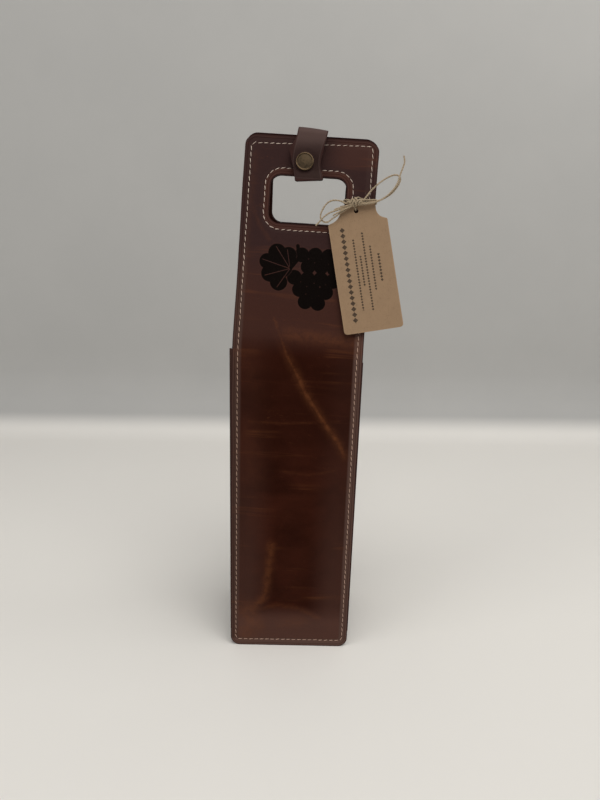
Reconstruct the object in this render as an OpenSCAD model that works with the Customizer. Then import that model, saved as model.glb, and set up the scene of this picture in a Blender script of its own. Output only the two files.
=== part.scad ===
// Leather carrier for one bottle, standing on the bottom edges of its front and back panels.
// Origin at the middle of the footprint on the surface, +Z up, front towards -Y. Millimetres.

/* [Carrier] */
// Width of the front and back panels
panel_w = 98; // [95:1:120]
// Depth over the outer faces of the two panels
pocket_depth = 86; // [84:1:100]
// Height of the fold line, where the pocket ends and the flaps begin
shoulder_h = 246; // [200:1:280]
// Length of a flap from the fold line to its top edge
flap_len = 164.5; // [155:0.5:180]
// Gap that is left between the two linings at the top, where the flaps lean together
flap_gap = 2.1; // [1.8:0.1:6]
// How much higher the back flap stands, with its cutout, than the front flap
back_rise = 2.8; // [0:0.1:2.9]
// Sideways lean of the pocket
pocket_lean = 1.6; // [0:0.1:3]
// Sideways lean of the flaps
flap_lean = 3.5; // [0:0.1:5]

/* [Leather] */
// Thickness of the panels and the strap
leather_t = 2; // [1.6:0.1:2.2]
// Thickness of the flap linings
lining_t = 1.6; // [1:0.1:1.7]
// Thickness of the gusset
gusset_t = 1.8; // [1.2:0.1:2.2]
// Width of the gusset's outward flange
flange_w = 7; // [6:0.5:9]
// Radius of the panels' corners
corner_r = 8; // [4:0.5:12]

/* [Handle cutout] */
// Width of the cutout
cutout_w = 57; // [48:1:62]
// Height of the cutout
cutout_h = 36.5; // [30:0.5:38]
// Height of the bar above the cutout
bar_h = 28.4; // [27:0.1:36]
// How much further up the back flap's cutout reaches than its rise alone
back_cutout_more = 1.5; // [0:0.1:2]
// Radius of the cutout's corners
cutout_r = 8; // [4:0.5:12]

/* [Seams] */
// Distance from a side edge to the middle of its seam
seam_inset = 4.4; // [3.5:0.1:6]
// Distance from a top or bottom edge to the middle of its seam
end_seam_inset = 5.8; // [3.5:0.1:7]
// Width of a seam's thread
thread_w = 0.8; // [0.5:0.1:1]
// Height of a seam's thread above the leather
thread_h = 0.4; // [0.2:0.1:0.5]

/* [Strap and snap] */
// Width of the strap
strap_w = 22; // [18:1:26]
// Sideways place of the strap on the flaps
strap_x = -2.8; // [-6:0.1:6]
// Height of the strap's outer face above the flaps' top edge
strap_rise = 5.5; // [5:0.1:7]
// Gap between the front bar and the strap's inner face
strap_gap = 4; // [3.8:0.1:5]
// How far the strap's end hangs below the bar
strap_overhang = 5.9; // [2:0.1:7]
// Height of the strap's riveted end above the back cutout's risen top
base_clearance = 5.3; // [4.8:0.1:6]
// Radius of the snap's cap
cap_r = 6.6; // [6.6:0.1:8]
// Distance from the flap's top edge down to the snap
snap_drop = 20.5; // [16:0.5:22]
// Distance from the flap's top edge down to the rivets
rivet_drop = 18.5; // [16:0.5:20]

/* [Hang tag] */
// Width of the card
tag_w = 44; // [35:1:55]
// Length of the card
tag_len = 95; // [70:1:110]
// Thickness of the card
tag_t = 0.6; // [0.4:0.1:0.8]
// Angle of the hanging card against the flap's middle line
tag_angle = 12.4; // [0:0.1:20]

/* [Hidden] */
$fn = 48;

leather = [0.24, 0.12, 0.09];
lining_leather = [0.18, 0.09, 0.07];
strap_leather = [0.30, 0.19, 0.17];
thread_colour = [0.74, 0.62, 0.48];
aged_brass = [0.47, 0.37, 0.22];
card = [0.60, 0.48, 0.35];
jute = [0.62, 0.54, 0.42];

// One overrun for every cut
over = 1;
// Play at the fold line and at the strap's bends
fold_play = 0.3;
half_w = panel_w / 2;
half_mid = (pocket_depth - leather_t) / 2;
outer_face = leather_t / 2;
inner_face = leather_t / 2 + lining_t;
flap_in_angle = asin((half_mid - flap_gap / 2) / norm([flap_len, inner_face]))
    - atan2(inner_face, flap_len);
flange_t = gusset_t;
gusset_corner_r = corner_r / 2;
seam_corner_r = corner_r * 0.7;
lining_inset = 1;
handle_seam_gap = 4.7;
cutout_top = flap_len - bar_h;
cutout_mid = cutout_top - cutout_h / 2;
shoulder_x = shoulder_h * tan(pocket_lean);

// Snap: the stud stands in the socket with play all round
stud_r = 2.9;
stud_flange_r = 5;
stud_flange_t = 0.8;
socket_r = 6;
socket_bore_r = 4.1;
socket_wall = 0.6;
socket_play = 0.1;
shank_r = 1.6;
shank_play = 0.1;
cap_t = 1.1;
cap_rim_t = 1.7;
cap_rim_w = 1.2;
snap_x = strap_x - 1.2;
snap_z = flap_len - snap_drop;
rivet_z = flap_len + back_rise - rivet_drop;
rivet_head_r = 3.6;
rivet_head_t = 0.8;
rivet_gap = 11;

// Strap: two bends, each round an axis along X in the flaps' frame
strap_h = strap_rise - leather_t / 2;
rear_line = outer_face + thread_h + leather_t / 2;
front_line = outer_face + strap_gap + leather_t / 2;
flap_top_z = flap_len * cos(flap_in_angle) + outer_face * sin(flap_in_angle);
bend_z = flap_top_z + strap_h;
rear_bend_len = (bend_z - rear_line * sin(flap_in_angle)) / cos(flap_in_angle);
front_bend_len = (bend_z - front_line * sin(flap_in_angle)) / cos(flap_in_angle);
rear_bend_y = half_mid + rear_line * cos(flap_in_angle) - rear_bend_len * sin(flap_in_angle);
front_bend_y = -half_mid - front_line * cos(flap_in_angle) + front_bend_len * sin(flap_in_angle);
bend_r = leather_t / 2;
strap_corner_r = strap_w / 8;
strap_end_z = cutout_top - strap_overhang;
base_end_z = cutout_top + back_rise + base_clearance;

// Tag: hole near the top of the neck, tag lying just in front of the flap
tag_x = 36.3;
tag_z = 111.4;
tag_gap = 2.2;
tag_hole_r = 1.6;
tag_hole_drop = 5.5;
tag_left_notch_r = tag_w * 0.245;
tag_right_notch_r = tag_w * 0.168;
tag_left_neck = 1.4;
tag_right_neck = 6;
tag_corner_r = 2.5;

// Twine, with the routes' points in the front flap's frame: x across, y inwards, z up the flap
twine_d = 1.2;
twine_sides = 8;
knot_half = [4.6, 2.5, 3.2];
knot_at = [34.8, -6.8, 116.7];
tie_points = [
    [34.4, -5.6, 114.9], [35, -5.4, 113.8], [35.6, -4.8, 112.6], [35.9, -3.4, 112],
    [35.9, -2.35, 112.7], [35.6, -2.3, 114.6], [34.4, -2.2, 117], [31.6, -2.2, 119.3],
    [28.6, -2.2, 119.8], [27.2, -1, 119.8], [27, 1, 119.8], [27.1, 3, 119.8],
    [28.5, 3.5, 119.8], [33, 3.5, 119.7], [38, 3.5, 119.6], [43, 3.5, 119.5], [49, 3.5, 119.4],
    [50.8, 2.6, 119.4], [50.9, 0.8, 119.4], [50.6, -1.4, 119.4], [48.6, -2.2, 119.6],
    [44, -2.2, 120.2], [40, -2.2, 121.1], [38.2, -2.4, 121.7], [36.8, -3.2, 121.7],
    [35.8, -4.6, 120.6], [35, -5.8, 118.6]];
loop_left_points = [
    [33, -6.9, 116.6], [30, -7, 115.8], [27.6, -6.9, 115.7], [25.6, -6.7, 116.8],
    [22.9, -6.4, 117.5], [19.5, -6.1, 117.6], [16.5, -5.9, 116.7], [14.2, -5.7, 114.9],
    [12.1, -5.6, 111.7], [10.6, -5.4, 108.2], [10.2, -5.4, 105.2], [11, -5.5, 103.2],
    [12.8, -5.6, 101.6], [14.8, -5.7, 101.2], [16.8, -5.8, 102.1], [19.1, -6, 104.1],
    [21.6, -6.2, 105.9], [24.2, -6.5, 108.1], [28.7, -6.8, 111.3], [33, -6.8, 114.4]];
loop_right_points = [
    [36, -6.9, 116.8], [39, -7, 117.4], [41.3, -7, 119.3], [43.6, -7, 122.6],
    [46.4, -6.9, 126.6], [50.6, -6.7, 131.1], [54.4, -6.3, 134.5], [58.2, -6.1, 137.2],
    [62, -5.9, 138.9], [65.2, -5.8, 138.8], [66.9, -5.8, 136.4], [65.8, -5.9, 132],
    [61.6, -6, 125.8], [56, -6.2, 121.4], [50.2, -6.5, 118.6], [45, -6.8, 116.6],
    [40.4, -7, 115.4], [36, -6.8, 115.4]];
tail_left_points = [
    [33, -7, 115], [30.8, -7.3, 113], [28.4, -7.4, 112], [26, -7.4, 111.2], [23.3, -7.4, 110.6],
    [20.6, -7.2, 109.6], [17.1, -7, 108.1], [14.8, -6.9, 106.6], [12.3, -6.8, 104.3],
    [10.4, -6.8, 101.8], [8.4, -6.8, 99.4], [7.2, -6.8, 98]];
tail_right_points = [
    [36, -6.9, 116.2], [40, -7.6, 115.9], [45, -8, 116.4], [50.3, -8, 117.8], [55.6, -7.8, 121],
    [60.8, -7.6, 126], [64.6, -7.3, 132], [66.3, -7.1, 138.6], [67.8, -6.9, 143.6],
    [69, -6.8, 148.4], [68.3, -6.6, 153.2]];

// Outlines with rounded corners, each corner given as [x, z, radius]
function unit(v) = v / norm(v);
function place(c) = [c[0], c[1]];
function arc(before, corner, after, radius, steps) =
    let (
        to_before = unit(before - corner),
        to_after = unit(after - corner),
        half = acos(to_before * to_after) / 2,
        centre = corner + unit(to_before + to_after) * radius / sin(half),
        first = corner + to_before * radius / tan(half) - centre,
        last = corner + to_after * radius / tan(half) - centre,
        start = atan2(first[1], first[0]),
        turn = atan2(first[0] * last[1] - first[1] * last[0], first * last)
    )
    [for (i = [0:steps]) centre + radius * [cos(start + turn * i / steps), sin(start + turn * i / steps)]];
function rounded(corners, steps = 8) =
    let (n = len(corners))
    [for (i = [0:n - 1])
        each corners[i][2] > 0
            ? arc(place(corners[(i + n - 1) % n]), place(corners[i]), place(corners[(i + 1) % n]),
                corners[i][2], steps)
            : [place(corners[i])]];

// A point on the fold line, x to the side of its middle
function fold_point(x, drop = 0) =
    [shoulder_x + x * cos(flap_lean), shoulder_h - x * sin(flap_lean) - drop, 0];
function pocket_outline(inset, low_inset, radius, drop = fold_play) = rounded([
    [inset - half_w, low_inset, radius],
    [half_w - inset, low_inset, radius],
    fold_point(half_w - inset, drop),
    fold_point(inset - half_w, drop)]);
function flap_outline(inset, top_inset, radius, rise, start = fold_play) = rounded([
    [inset - half_w, start, 0],
    [half_w - inset, start, 0],
    [half_w - inset, flap_len + rise - top_inset, radius],
    [inset - half_w, flap_len + rise - top_inset, radius]]);
function cutout_outline(grow, rise, more = 0) = rounded([
    [-cutout_w / 2 - grow, cutout_mid + rise - cutout_h / 2 - grow, cutout_r + grow],
    [cutout_w / 2 + grow, cutout_mid + rise - cutout_h / 2 - grow, cutout_r + grow],
    [cutout_w / 2 + grow, cutout_mid + rise + cutout_h / 2 + more + grow, cutout_r + grow],
    [-cutout_w / 2 - grow, cutout_mid + rise + cutout_h / 2 + more + grow, cutout_r + grow]]);
function strap_outline(low, high) = rounded([
    [strap_x - strap_w / 2, low, strap_corner_r],
    [strap_x + strap_w / 2, low, strap_corner_r],
    [strap_x + strap_w / 2, high, 0],
    [strap_x - strap_w / 2, high, 0]]);

// Tube swept along a route, its rings kept from twisting
function heading(route, i) =
    unit(route[min(i + 1, len(route) - 1)] - route[max(i - 1, 0)]);
function square_to(v, direction) = unit(v - (v * direction) * direction);
function sides_of(route) =
    [for (i = 0, side = square_to([0.3, 1, 0.2], heading(route, 0));
        i < len(route);
        i = i + 1, side = square_to(side, heading(route, min(i, len(route) - 1)))) side];
module tube(route, diameter, sides) {
    along = sides_of(route);
    rings = len(route);
    points = [for (i = [0:rings - 1]) for (k = [0:sides - 1])
        let (other = cross(heading(route, i), along[i]), turn = 360 * k / sides)
        route[i] + diameter / 2 * (cos(turn) * along[i] + sin(turn) * other)];
    walls = [for (i = [0:rings - 2]) for (k = [0:sides - 1])
        let (a = i * sides + k, b = i * sides + (k + 1) % sides)
        each [[a, a + sides, b], [b, a + sides, b + sides]]];
    first_end = [for (k = [1:sides - 2]) [0, k, k + 1]];
    last = (rings - 1) * sides;
    last_end = [for (k = [1:sides - 2]) [last, last + k + 1, last + k]];
    polyhedron(points, concat(walls, first_end, last_end));
}

// Sheet of leather with its outline in the XZ plane, from the y of one face inwards
module sheet(face, thickness)
    translate([0, face + thickness, 0])
        rotate([90, 0, 0]) linear_extrude(height = thickness) children();

// Frames: the upper part leans sideways with the fold line, and each flap leans in from it
module upper()
    translate([shoulder_x, 0, shoulder_h]) rotate([0, flap_lean, 0]) children();
module flap_frame()
    translate([0, -half_mid, 0]) rotate([-flap_in_angle, 0, 0]) children();
module front() upper() flap_frame() children();
module back() upper() mirror([0, 1, 0]) flap_frame() children();

// Round shape standing out of a flap, from an inner y to an outer y
module peg(x, z, from_y, to_y, radius)
    translate([x, from_y, z]) rotate([90, 0, 0]) cylinder(h = from_y - to_y, r = radius);

module flap_sheet(rise, more, holes, hole_r, hole_z)
    difference() {
        sheet(-outer_face, leather_t) difference() {
            polygon(flap_outline(0, 0, corner_r, rise));
            polygon(cutout_outline(0, rise, more));
        }
        for (x = holes) peg(x, hole_z, outer_face + over, -outer_face - over, hole_r);
    }
module lining_sheet(rise, more, holes, hole_r, hole_z)
    difference() {
        sheet(outer_face, lining_t) difference() {
            polygon(flap_outline(lining_inset, lining_inset, corner_r - lining_inset, rise,
                lining_t + fold_play));
            polygon(cutout_outline(0, rise, more));
        }
        for (x = holes) peg(x, hole_z, inner_face + over, outer_face - over, hole_r);
    }
module pocket_sheet()
    sheet(-half_mid - outer_face, leather_t) polygon(pocket_outline(0, 0, corner_r));
module pocket_thread()
    sheet(-half_mid - outer_face - thread_h, thread_h) difference() {
        polygon(pocket_outline(seam_inset - thread_w / 2, end_seam_inset - thread_w / 2, seam_corner_r));
        polygon(pocket_outline(seam_inset + thread_w / 2, end_seam_inset + thread_w / 2,
            seam_corner_r - thread_w, -over));
    }
module flap_thread(rise)
    sheet(-outer_face - thread_h, thread_h) difference() {
        polygon(flap_outline(seam_inset - thread_w / 2, end_seam_inset - thread_w / 2,
            seam_corner_r, rise));
        polygon(flap_outline(seam_inset + thread_w / 2, end_seam_inset + thread_w / 2,
            seam_corner_r - thread_w, rise, -over));
    }
module cutout_thread(rise)
    sheet(-outer_face - thread_h, thread_h) difference() {
        polygon(cutout_outline(handle_seam_gap + thread_w / 2, rise));
        polygon(cutout_outline(handle_seam_gap - thread_w / 2, rise));
    }

snap_holes = [snap_x];
rivet_holes = [strap_x - rivet_gap / 2, strap_x + rivet_gap / 2];

module pocket_front() color(leather) pocket_sheet();
module pocket_back() color(leather) mirror([0, 1, 0]) pocket_sheet();
module front_flap() color(leather) front() flap_sheet(0, 0, snap_holes, shank_r + shank_play, snap_z);
module back_flap()
    color(leather) back()
        flap_sheet(back_rise, back_cutout_more, rivet_holes, shank_r + shank_play, rivet_z);
module front_lining()
    color(lining_leather) front() lining_sheet(0, 0, snap_holes, shank_r + shank_play, snap_z);
module back_lining()
    color(lining_leather) back()
        lining_sheet(back_rise, back_cutout_more, rivet_holes, shank_r + shank_play, rivet_z);

// Both sides and the base in one strip, with flanges turned out against the panels
module gusset() color(lining_leather) {
    inner_y = half_mid - leather_t / 2;
    sheet(-inner_y, 2 * inner_y) difference() {
        polygon(pocket_outline(flange_w, flange_w, gusset_corner_r));
        polygon(pocket_outline(flange_w + gusset_t, flange_w + gusset_t, gusset_corner_r, -over));
    }
    for (face = [-inner_y, inner_y - flange_t])
        sheet(face, flange_t) difference() {
            polygon(pocket_outline(0, 0, corner_r));
            polygon(pocket_outline(flange_w + gusset_t, flange_w + gusset_t, gusset_corner_r, -over));
        }
}

module front_pocket_seam() color(thread_colour) pocket_thread();
module back_pocket_seam() color(thread_colour) mirror([0, 1, 0]) pocket_thread();
module front_flap_seam() color(thread_colour) front() flap_thread(0);
module back_flap_seam() color(thread_colour) back() flap_thread(back_rise);
module front_handle_seam() color(thread_colour) front() difference() {
    cutout_thread(0);
    // The stud's flange covers the row here
    peg(snap_x, snap_z, -outer_face + over, -outer_face - thread_h - over, stud_flange_r + shank_play);
}
module back_handle_seam() color(thread_colour) back() cutout_thread(back_rise);

// Round bar along X at a bend of the strap
module bend_bar(y, radius, length)
    translate([strap_x, y, bend_z]) rotate([0, 90, 0]) cylinder(h = length, r = radius, center = true);
module bend_cut(y) upper() bend_bar(y, bend_r + fold_play, strap_w + 2 * over);

module strap_base() color(strap_leather) difference() {
    back() sheet(-rear_line - bend_r, leather_t) polygon(strap_outline(base_end_z, rear_bend_len));
    bend_cut(rear_bend_y);
    back() for (x = rivet_holes)
        peg(x, rivet_z, -outer_face + over, -rear_line - bend_r - over, shank_r + shank_play);
}
module strap_bridge() color(strap_leather) upper() {
    bend_bar(rear_bend_y, bend_r, strap_w);
    bend_bar(front_bend_y, bend_r, strap_w);
    translate([strap_x - strap_w / 2, front_bend_y, bend_z - bend_r])
        cube([strap_w, rear_bend_y - front_bend_y, leather_t]);
}
module strap_tongue() color(strap_leather) difference() {
    front() sheet(-front_line - bend_r, leather_t) polygon(strap_outline(strap_end_z, front_bend_len));
    bend_cut(front_bend_y);
    front() peg(snap_x, snap_z, -outer_face, -front_line - bend_r - over, shank_r + shank_play);
}
module strap_rivets() color(aged_brass) back() for (x = rivet_holes) {
    outer = -rear_line - bend_r;
    peg(x, rivet_z, inner_face, outer, shank_r);
    peg(x, rivet_z, inner_face + rivet_head_t, inner_face, rivet_head_r);
    peg(x, rivet_z, outer, outer - rivet_head_t, rivet_head_r);
}

// Cap with a raised rim, its shank through the strap down to the socket
module snap_cap() color(aged_brass) front() {
    face = -front_line - bend_r;
    back_face = face + leather_t;
    difference() {
        peg(snap_x, snap_z, face, face - cap_rim_t, cap_r);
        peg(snap_x, snap_z, face - cap_t, face - cap_rim_t - over, cap_r - cap_rim_w);
    }
    peg(snap_x, snap_z, back_face, face, shank_r);
}
module snap_socket() color(aged_brass) front() {
    seat = -outer_face - strap_gap;
    mouth = -outer_face - stud_flange_t - socket_play;
    difference() {
        peg(snap_x, snap_z, mouth, seat, socket_r);
        peg(snap_x, snap_z, mouth + over, seat + socket_wall, socket_bore_r);
    }
}
module snap_stud() color(aged_brass) front() {
    peg(snap_x, snap_z, -outer_face, -outer_face - stud_flange_t, stud_flange_r);
    intersection() {
        translate([snap_x, -outer_face, snap_z]) sphere(r = stud_r);
        peg(snap_x, snap_z, -outer_face - stud_flange_t / 2, -outer_face - stud_r - over, stud_r + over);
    }
}
module snap_post() color(aged_brass) front() {
    peg(snap_x, snap_z, inner_face, -outer_face, shank_r);
    peg(snap_x, snap_z, inner_face + rivet_head_t, inner_face, stud_flange_r);
}

// Card with scooped top corners, turning about its hole
module hang_tag() color(card) front()
    translate([tag_x, -outer_face - tag_gap - tag_t, tag_z]) rotate([0, -tag_angle, 0])
        sheet(0, tag_t) difference() {
            polygon(rounded([
                [-tag_w / 2, tag_hole_drop - tag_len, tag_corner_r],
                [tag_w / 2, tag_hole_drop - tag_len, tag_corner_r],
                [tag_w / 2, tag_hole_drop, 0],
                [-tag_w / 2, tag_hole_drop, 0]]));
            hull() for (neck = [0, tag_left_neck])
                translate([-tag_w / 2, tag_hole_drop - neck]) circle(r = tag_left_notch_r);
            hull() for (neck = [0, tag_right_neck])
                translate([tag_w / 2, tag_hole_drop - neck]) circle(r = tag_right_notch_r);
            circle(r = tag_hole_r);
        }

module twine_tie() color(jute) front() tube(tie_points, twine_d, twine_sides);
module twine_knot() color(jute) front() translate(knot_at) scale(knot_half) sphere(r = 1);
module twine_loop_left() color(jute) front() tube(loop_left_points, twine_d, twine_sides);
module twine_loop_right() color(jute) front() tube(loop_right_points, twine_d, twine_sides);
module twine_tail_left() color(jute) front() tube(tail_left_points, twine_d, twine_sides);
module twine_tail_right() color(jute) front() tube(tail_right_points, twine_d, twine_sides);

pocket_front();
front_flap();
front_lining();
pocket_back();
back_flap();
back_lining();
gusset();
front_pocket_seam();
front_flap_seam();
front_handle_seam();
back_pocket_seam();
back_flap_seam();
back_handle_seam();
strap_base();
strap_bridge();
strap_tongue();
strap_rivets();
snap_cap();
snap_socket();
snap_stud();
snap_post();
hang_tag();
twine_tie();
twine_knot();
twine_loop_left();
twine_loop_right();
twine_tail_left();
twine_tail_right();
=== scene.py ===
"""Finished look of a leather carrier for one bottle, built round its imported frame.

Lengths are in metres in the frame's own coordinates: +Z up, the front towards -Y."""

import math
import random

import bpy
import numpy as np
from bpy.props import FloatProperty, FloatVectorProperty, IntProperty, PointerProperty
from mathutils import Matrix, Vector


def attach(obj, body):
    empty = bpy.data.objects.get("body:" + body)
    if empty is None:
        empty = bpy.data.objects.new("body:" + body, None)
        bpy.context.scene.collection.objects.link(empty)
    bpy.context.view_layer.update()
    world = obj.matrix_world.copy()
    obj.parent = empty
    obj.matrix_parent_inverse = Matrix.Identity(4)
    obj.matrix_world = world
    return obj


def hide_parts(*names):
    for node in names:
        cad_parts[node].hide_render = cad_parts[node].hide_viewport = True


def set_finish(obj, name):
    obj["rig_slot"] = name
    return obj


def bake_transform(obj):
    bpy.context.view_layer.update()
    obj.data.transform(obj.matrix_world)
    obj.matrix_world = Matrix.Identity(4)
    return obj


bl_info = {
    "name": "Bottle Carrier",
    "version": (1, 0, 0),
    "blender": (4, 5, 0),
    "location": "View3D > Sidebar > Carrier",
    "description": "Dresses the packed frame of a leather bottle carrier",
    "category": "Add Mesh",
}

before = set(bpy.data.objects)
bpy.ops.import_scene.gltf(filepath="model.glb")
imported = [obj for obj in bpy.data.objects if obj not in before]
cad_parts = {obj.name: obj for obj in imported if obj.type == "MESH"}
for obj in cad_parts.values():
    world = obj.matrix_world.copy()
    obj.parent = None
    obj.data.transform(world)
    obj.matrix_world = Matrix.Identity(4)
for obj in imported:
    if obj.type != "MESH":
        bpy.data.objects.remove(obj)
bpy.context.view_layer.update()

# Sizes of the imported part
FRONT = -1
BACK = 1
HALF_W = 0.049
HALF_MID = 0.042
FOLD_Z = 0.246
FLAP_LEN = 0.1645
TOTAL_LEN = FOLD_Z + FLAP_LEN
BACK_RISE = 0.0028
FLAP_LEAN = math.radians(3.5)
SHOULDER_X = FOLD_Z * math.tan(math.radians(1.6))
OUTER_FACE = 0.001
INNER_FACE = 0.0026
FLAP_GAP = 0.0021
FLAP_IN = (math.asin((HALF_MID - FLAP_GAP / 2) / math.hypot(FLAP_LEN, INNER_FACE))
           - math.atan2(INNER_FACE, FLAP_LEN))
CORNER_R = 0.008
CUTOUT_HALF = 0.0285
CUTOUT_R = 0.008
CUTOUT_LOW = 0.0996
CUTOUT_HIGH = 0.1361
BACK_CUTOUT_MORE = 0.0015
SEAM_INSET = 0.0044
END_SEAM_INSET = 0.0058
SEAM_CORNER_R = 0.0036
HANDLE_SEAM_GAP = 0.0047
GUSSET_T = 0.0018
FLANGE_W = 0.007
STRAP_X = -0.0028
STRAP_LOW = 0.1302
STRAP_BASE_LOW = 0.1442
STRAP_FACE = 0.007
STRAP_BASE_FACE = 0.0034
STRAP_TOP = 0.16569
SNAP_X = -0.004
SNAP_Z = 0.144
RIVET_Z = 0.1488
TAG_X = 0.0363
TAG_Z = 0.1114
TAG_FACE = 0.0038
TAG_NOTCHES = ((0.01078, 0.0014), (0.00739, 0.0060))
TAG_SHOULDER_R = 0.0016
TAG_TOP = 0.0055
TAG_HOLE_R = 0.0016
TAG_CORNER_R = 0.0025
TAG_ANGLE = math.radians(12.4)
KNOT_AT = (0.0348, -0.0070, 0.1169)

# Spacing of the meshes' rows
PANEL_PITCH = 0.00122
LINING_PITCH = 0.002
GUSSET_PITCH = 0.0022
STRAP_PITCH = 0.0009
TWINE_PITCH = 0.00045
# Loose fibres of the twine
FIBRE_LENGTHS = (0.0009, 0.0032)
FIBRE_D = 0.00011
# Play that keeps a sheet off the one that it lies on
SHEET_PLAY = 0.00004
# The snap's stud hides the stitches inside this radius
STITCH_FREE_R = 0.0067

# Routes of the twine in the front flap's frame, in millimetres
TIE_ROUTE = [
    (34.4, -5.6, 114.9), (35, -5.4, 113.8), (35.6, -4.8, 112.6), (35.9, -3.4, 112), (35.9, -2.35, 112.7),
    (35.6, -2.3, 114.6), (34.4, -2.2, 117), (31.6, -2.2, 119.3), (28.6, -2.2, 119.8), (27.2, -1, 119.8),
    (27, 1, 119.8), (27.1, 3, 119.8), (28.5, 3.5, 119.8), (33, 3.5, 119.7), (38, 3.5, 119.6),
    (43, 3.5, 119.5), (49, 3.5, 119.4), (50.8, 2.6, 119.4), (50.9, 0.8, 119.4), (50.6, -1.4, 119.4),
    (48.6, -2.2, 119.6), (44, -2.2, 120.2), (40, -2.2, 121.1), (38.2, -2.4, 121.7), (36.8, -3.2, 121.7),
    (35.8, -4.6, 120.6), (35, -5.8, 118.6)]
LOOP_LEFT_ROUTE = [
    (33, -6.9, 116.6), (30, -7, 115.8), (27.6, -6.9, 115.7), (25.6, -6.7, 116.8), (22.9, -6.4, 117.5),
    (19.5, -6.1, 117.6), (16.5, -5.9, 116.7), (14.2, -5.7, 114.9), (12.1, -5.6, 111.7), (10.6, -5.4, 108.2),
    (10.2, -5.4, 105.2), (11, -5.5, 103.2), (12.8, -5.6, 101.6), (14.8, -5.7, 101.2), (16.8, -5.8, 102.1),
    (19.1, -6, 104.1), (21.6, -6.2, 105.9), (24.2, -6.5, 108.1), (28.7, -6.8, 111.3), (33, -6.8, 114.4)]
LOOP_RIGHT_ROUTE = [
    (36, -6.9, 116.8), (39, -7, 117.4), (41.3, -7, 119.3), (43.6, -7, 122.6), (46.4, -6.9, 126.6),
    (50.6, -6.7, 131.1), (54.4, -6.3, 134.5), (58.2, -6.1, 137.2), (62, -5.9, 138.9), (65.2, -5.8, 138.8),
    (66.9, -5.8, 136.4), (65.8, -5.9, 132), (61.6, -6, 125.8), (56, -6.2, 121.4), (50.2, -6.5, 118.6),
    (45, -6.8, 116.6), (40.4, -7, 115.4), (36, -6.8, 115.4)]
TAIL_LEFT_ROUTE = [
    (33, -7, 115), (30.8, -7.3, 113), (28.4, -7.4, 112), (26, -7.4, 111.2), (23.3, -7.4, 110.6),
    (20.6, -7.2, 109.6), (17.1, -7, 108.1), (14.8, -6.9, 106.6), (12.3, -6.8, 104.3), (10.4, -6.8, 101.8),
    (8.4, -6.8, 99.4), (7.2, -6.8, 98)]
TAIL_RIGHT_ROUTE = [
    (36, -6.9, 116.2), (40, -7.6, 115.9), (45, -8, 116.4), (50.3, -8, 117.8), (55.6, -7.8, 121),
    (60.8, -7.6, 126), (64.6, -7.3, 132), (66.3, -7.1, 138.6), (67.8, -6.9, 143.6), (69, -6.8, 148.4),
    (68.3, -6.6, 153.2)]


def length(name, default, description):
    return FloatProperty(name=name, description=description, default=default, unit="LENGTH", precision=5)


def angle(name, default, description):
    """An angle whose default is written in degrees."""
    return FloatProperty(name=name, description=description, default=math.radians(default), subtype="ANGLE")


def colour(name, default, description):
    """A colour written as its three display values from 0 to 255."""
    return FloatVectorProperty(
        name=name, description=description, subtype="COLOR", size=3, min=0, max=1,
        default=[linear(value / 255) for value in default])


def linear(value):
    """A display value as the linear one that a shader takes."""
    return value / 12.92 if value <= 0.04045 else ((value + 0.055) / 1.055) ** 2.4


class LeatherSettings(bpy.types.PropertyGroup):
    thickness: length("Thickness", 0.002, "Thickness of the panels")
    lining_thickness: length("Lining thickness", 0.0016, "Thickness of the flap linings")
    crown: length("Crown", 0.0022, "How far the pocket's panels swell between their seams")
    sag: length("Gusset sag", 0.0045, "How far the gusset's walls fall inwards")
    fold_reach: length("Fold reach", 0.011, "Length of panel that bends on each side of the fold")
    edge_round: length("Edge rounding", 0.00045, "Rounding of the cut edges")
    dark: colour("Dark", (36, 12, 6), "Deepest brown of the panels")
    warm: colour("Warm", (52, 22, 13), "Warm brown of the panels")
    # Flap tone: painted light, the flaps lighter above the fold where they face up to the ceiling lamp
    flap_highlight_tone: colour("Flap tone", (62, 38, 32), "Lighter brown of the flaps")
    # Grip tone: painted reflection of the ceiling, greyer brown on the upper flaps round the handles
    grip_reflection_tone: colour("Grip tone", (47, 32, 32), "Greyer brown round the handles")
    # Rubbed: worn brown of the pocket's sides and foot; along the foot it is also a painted highlight
    rubbed: colour("Rubbed", (71, 47, 40), "Brown of the pocket's rubbed sides and foot")
    rim_tone: colour("Rim tone", (80, 49, 39), "Warm brown between the handle's seam and its cutout")
    # Margin tone: painted sheen on the raised margins outside the seams and on the gusset's flanges
    margin_sheen_tone: colour("Margin tone", (70, 52, 46), "Greyer brown outside the seams")
    pulled: colour("Pulled", (112, 66, 38), "Light tone where the leather was bent")
    edge: colour("Edge", (48, 28, 26), "Burnished cut edge")
    lining: colour("Lining", (46, 26, 20), "Lining and gusset")
    mark: colour("Mark", (6, 4, 4), "Black stamped mark")


class SeamSettings(bpy.types.PropertyGroup):
    pitch: length("Stitch pitch", 0.0045, "Distance from stitch to stitch")
    tight_pitch: length("Tight pitch", 0.0045, "Distance from stitch to stitch round the cutout")
    thread: length("Thread", 0.0004, "Thickness of the thread")
    tone: colour("Thread tone", (200, 166, 144), "Thread of the pocket")
    clean_tone: colour("Clean thread", (216, 198, 182), "Thread of the flap")


class StrapSettings(bpy.types.PropertyGroup):
    width: length("Width", 0.022, "Width of the strap")
    thickness: length("Thickness", 0.002, "Thickness of the strap")
    bend: length("Front bend", 0.0048, "Outer radius of the strap's bend over the front bar")
    rear_bend: length("Rear bend", 0.0034, "Outer radius of the strap's bend over the back bar")
    tone: colour("Strap tone", (42, 27, 26), "Strap's leather")
    # Top tone: painted highlight on the strap where it bends over the bar and along its creased edge lines
    bend_highlight_tone: colour("Top tone", (74, 58, 55), "Strap's leather where it bends over the bar")
    brass: colour("Brass", (81, 65, 46), "Bright metal on the snap's rim")
    aged: colour("Aged brass", (48, 39, 26), "Darkened metal")


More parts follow.
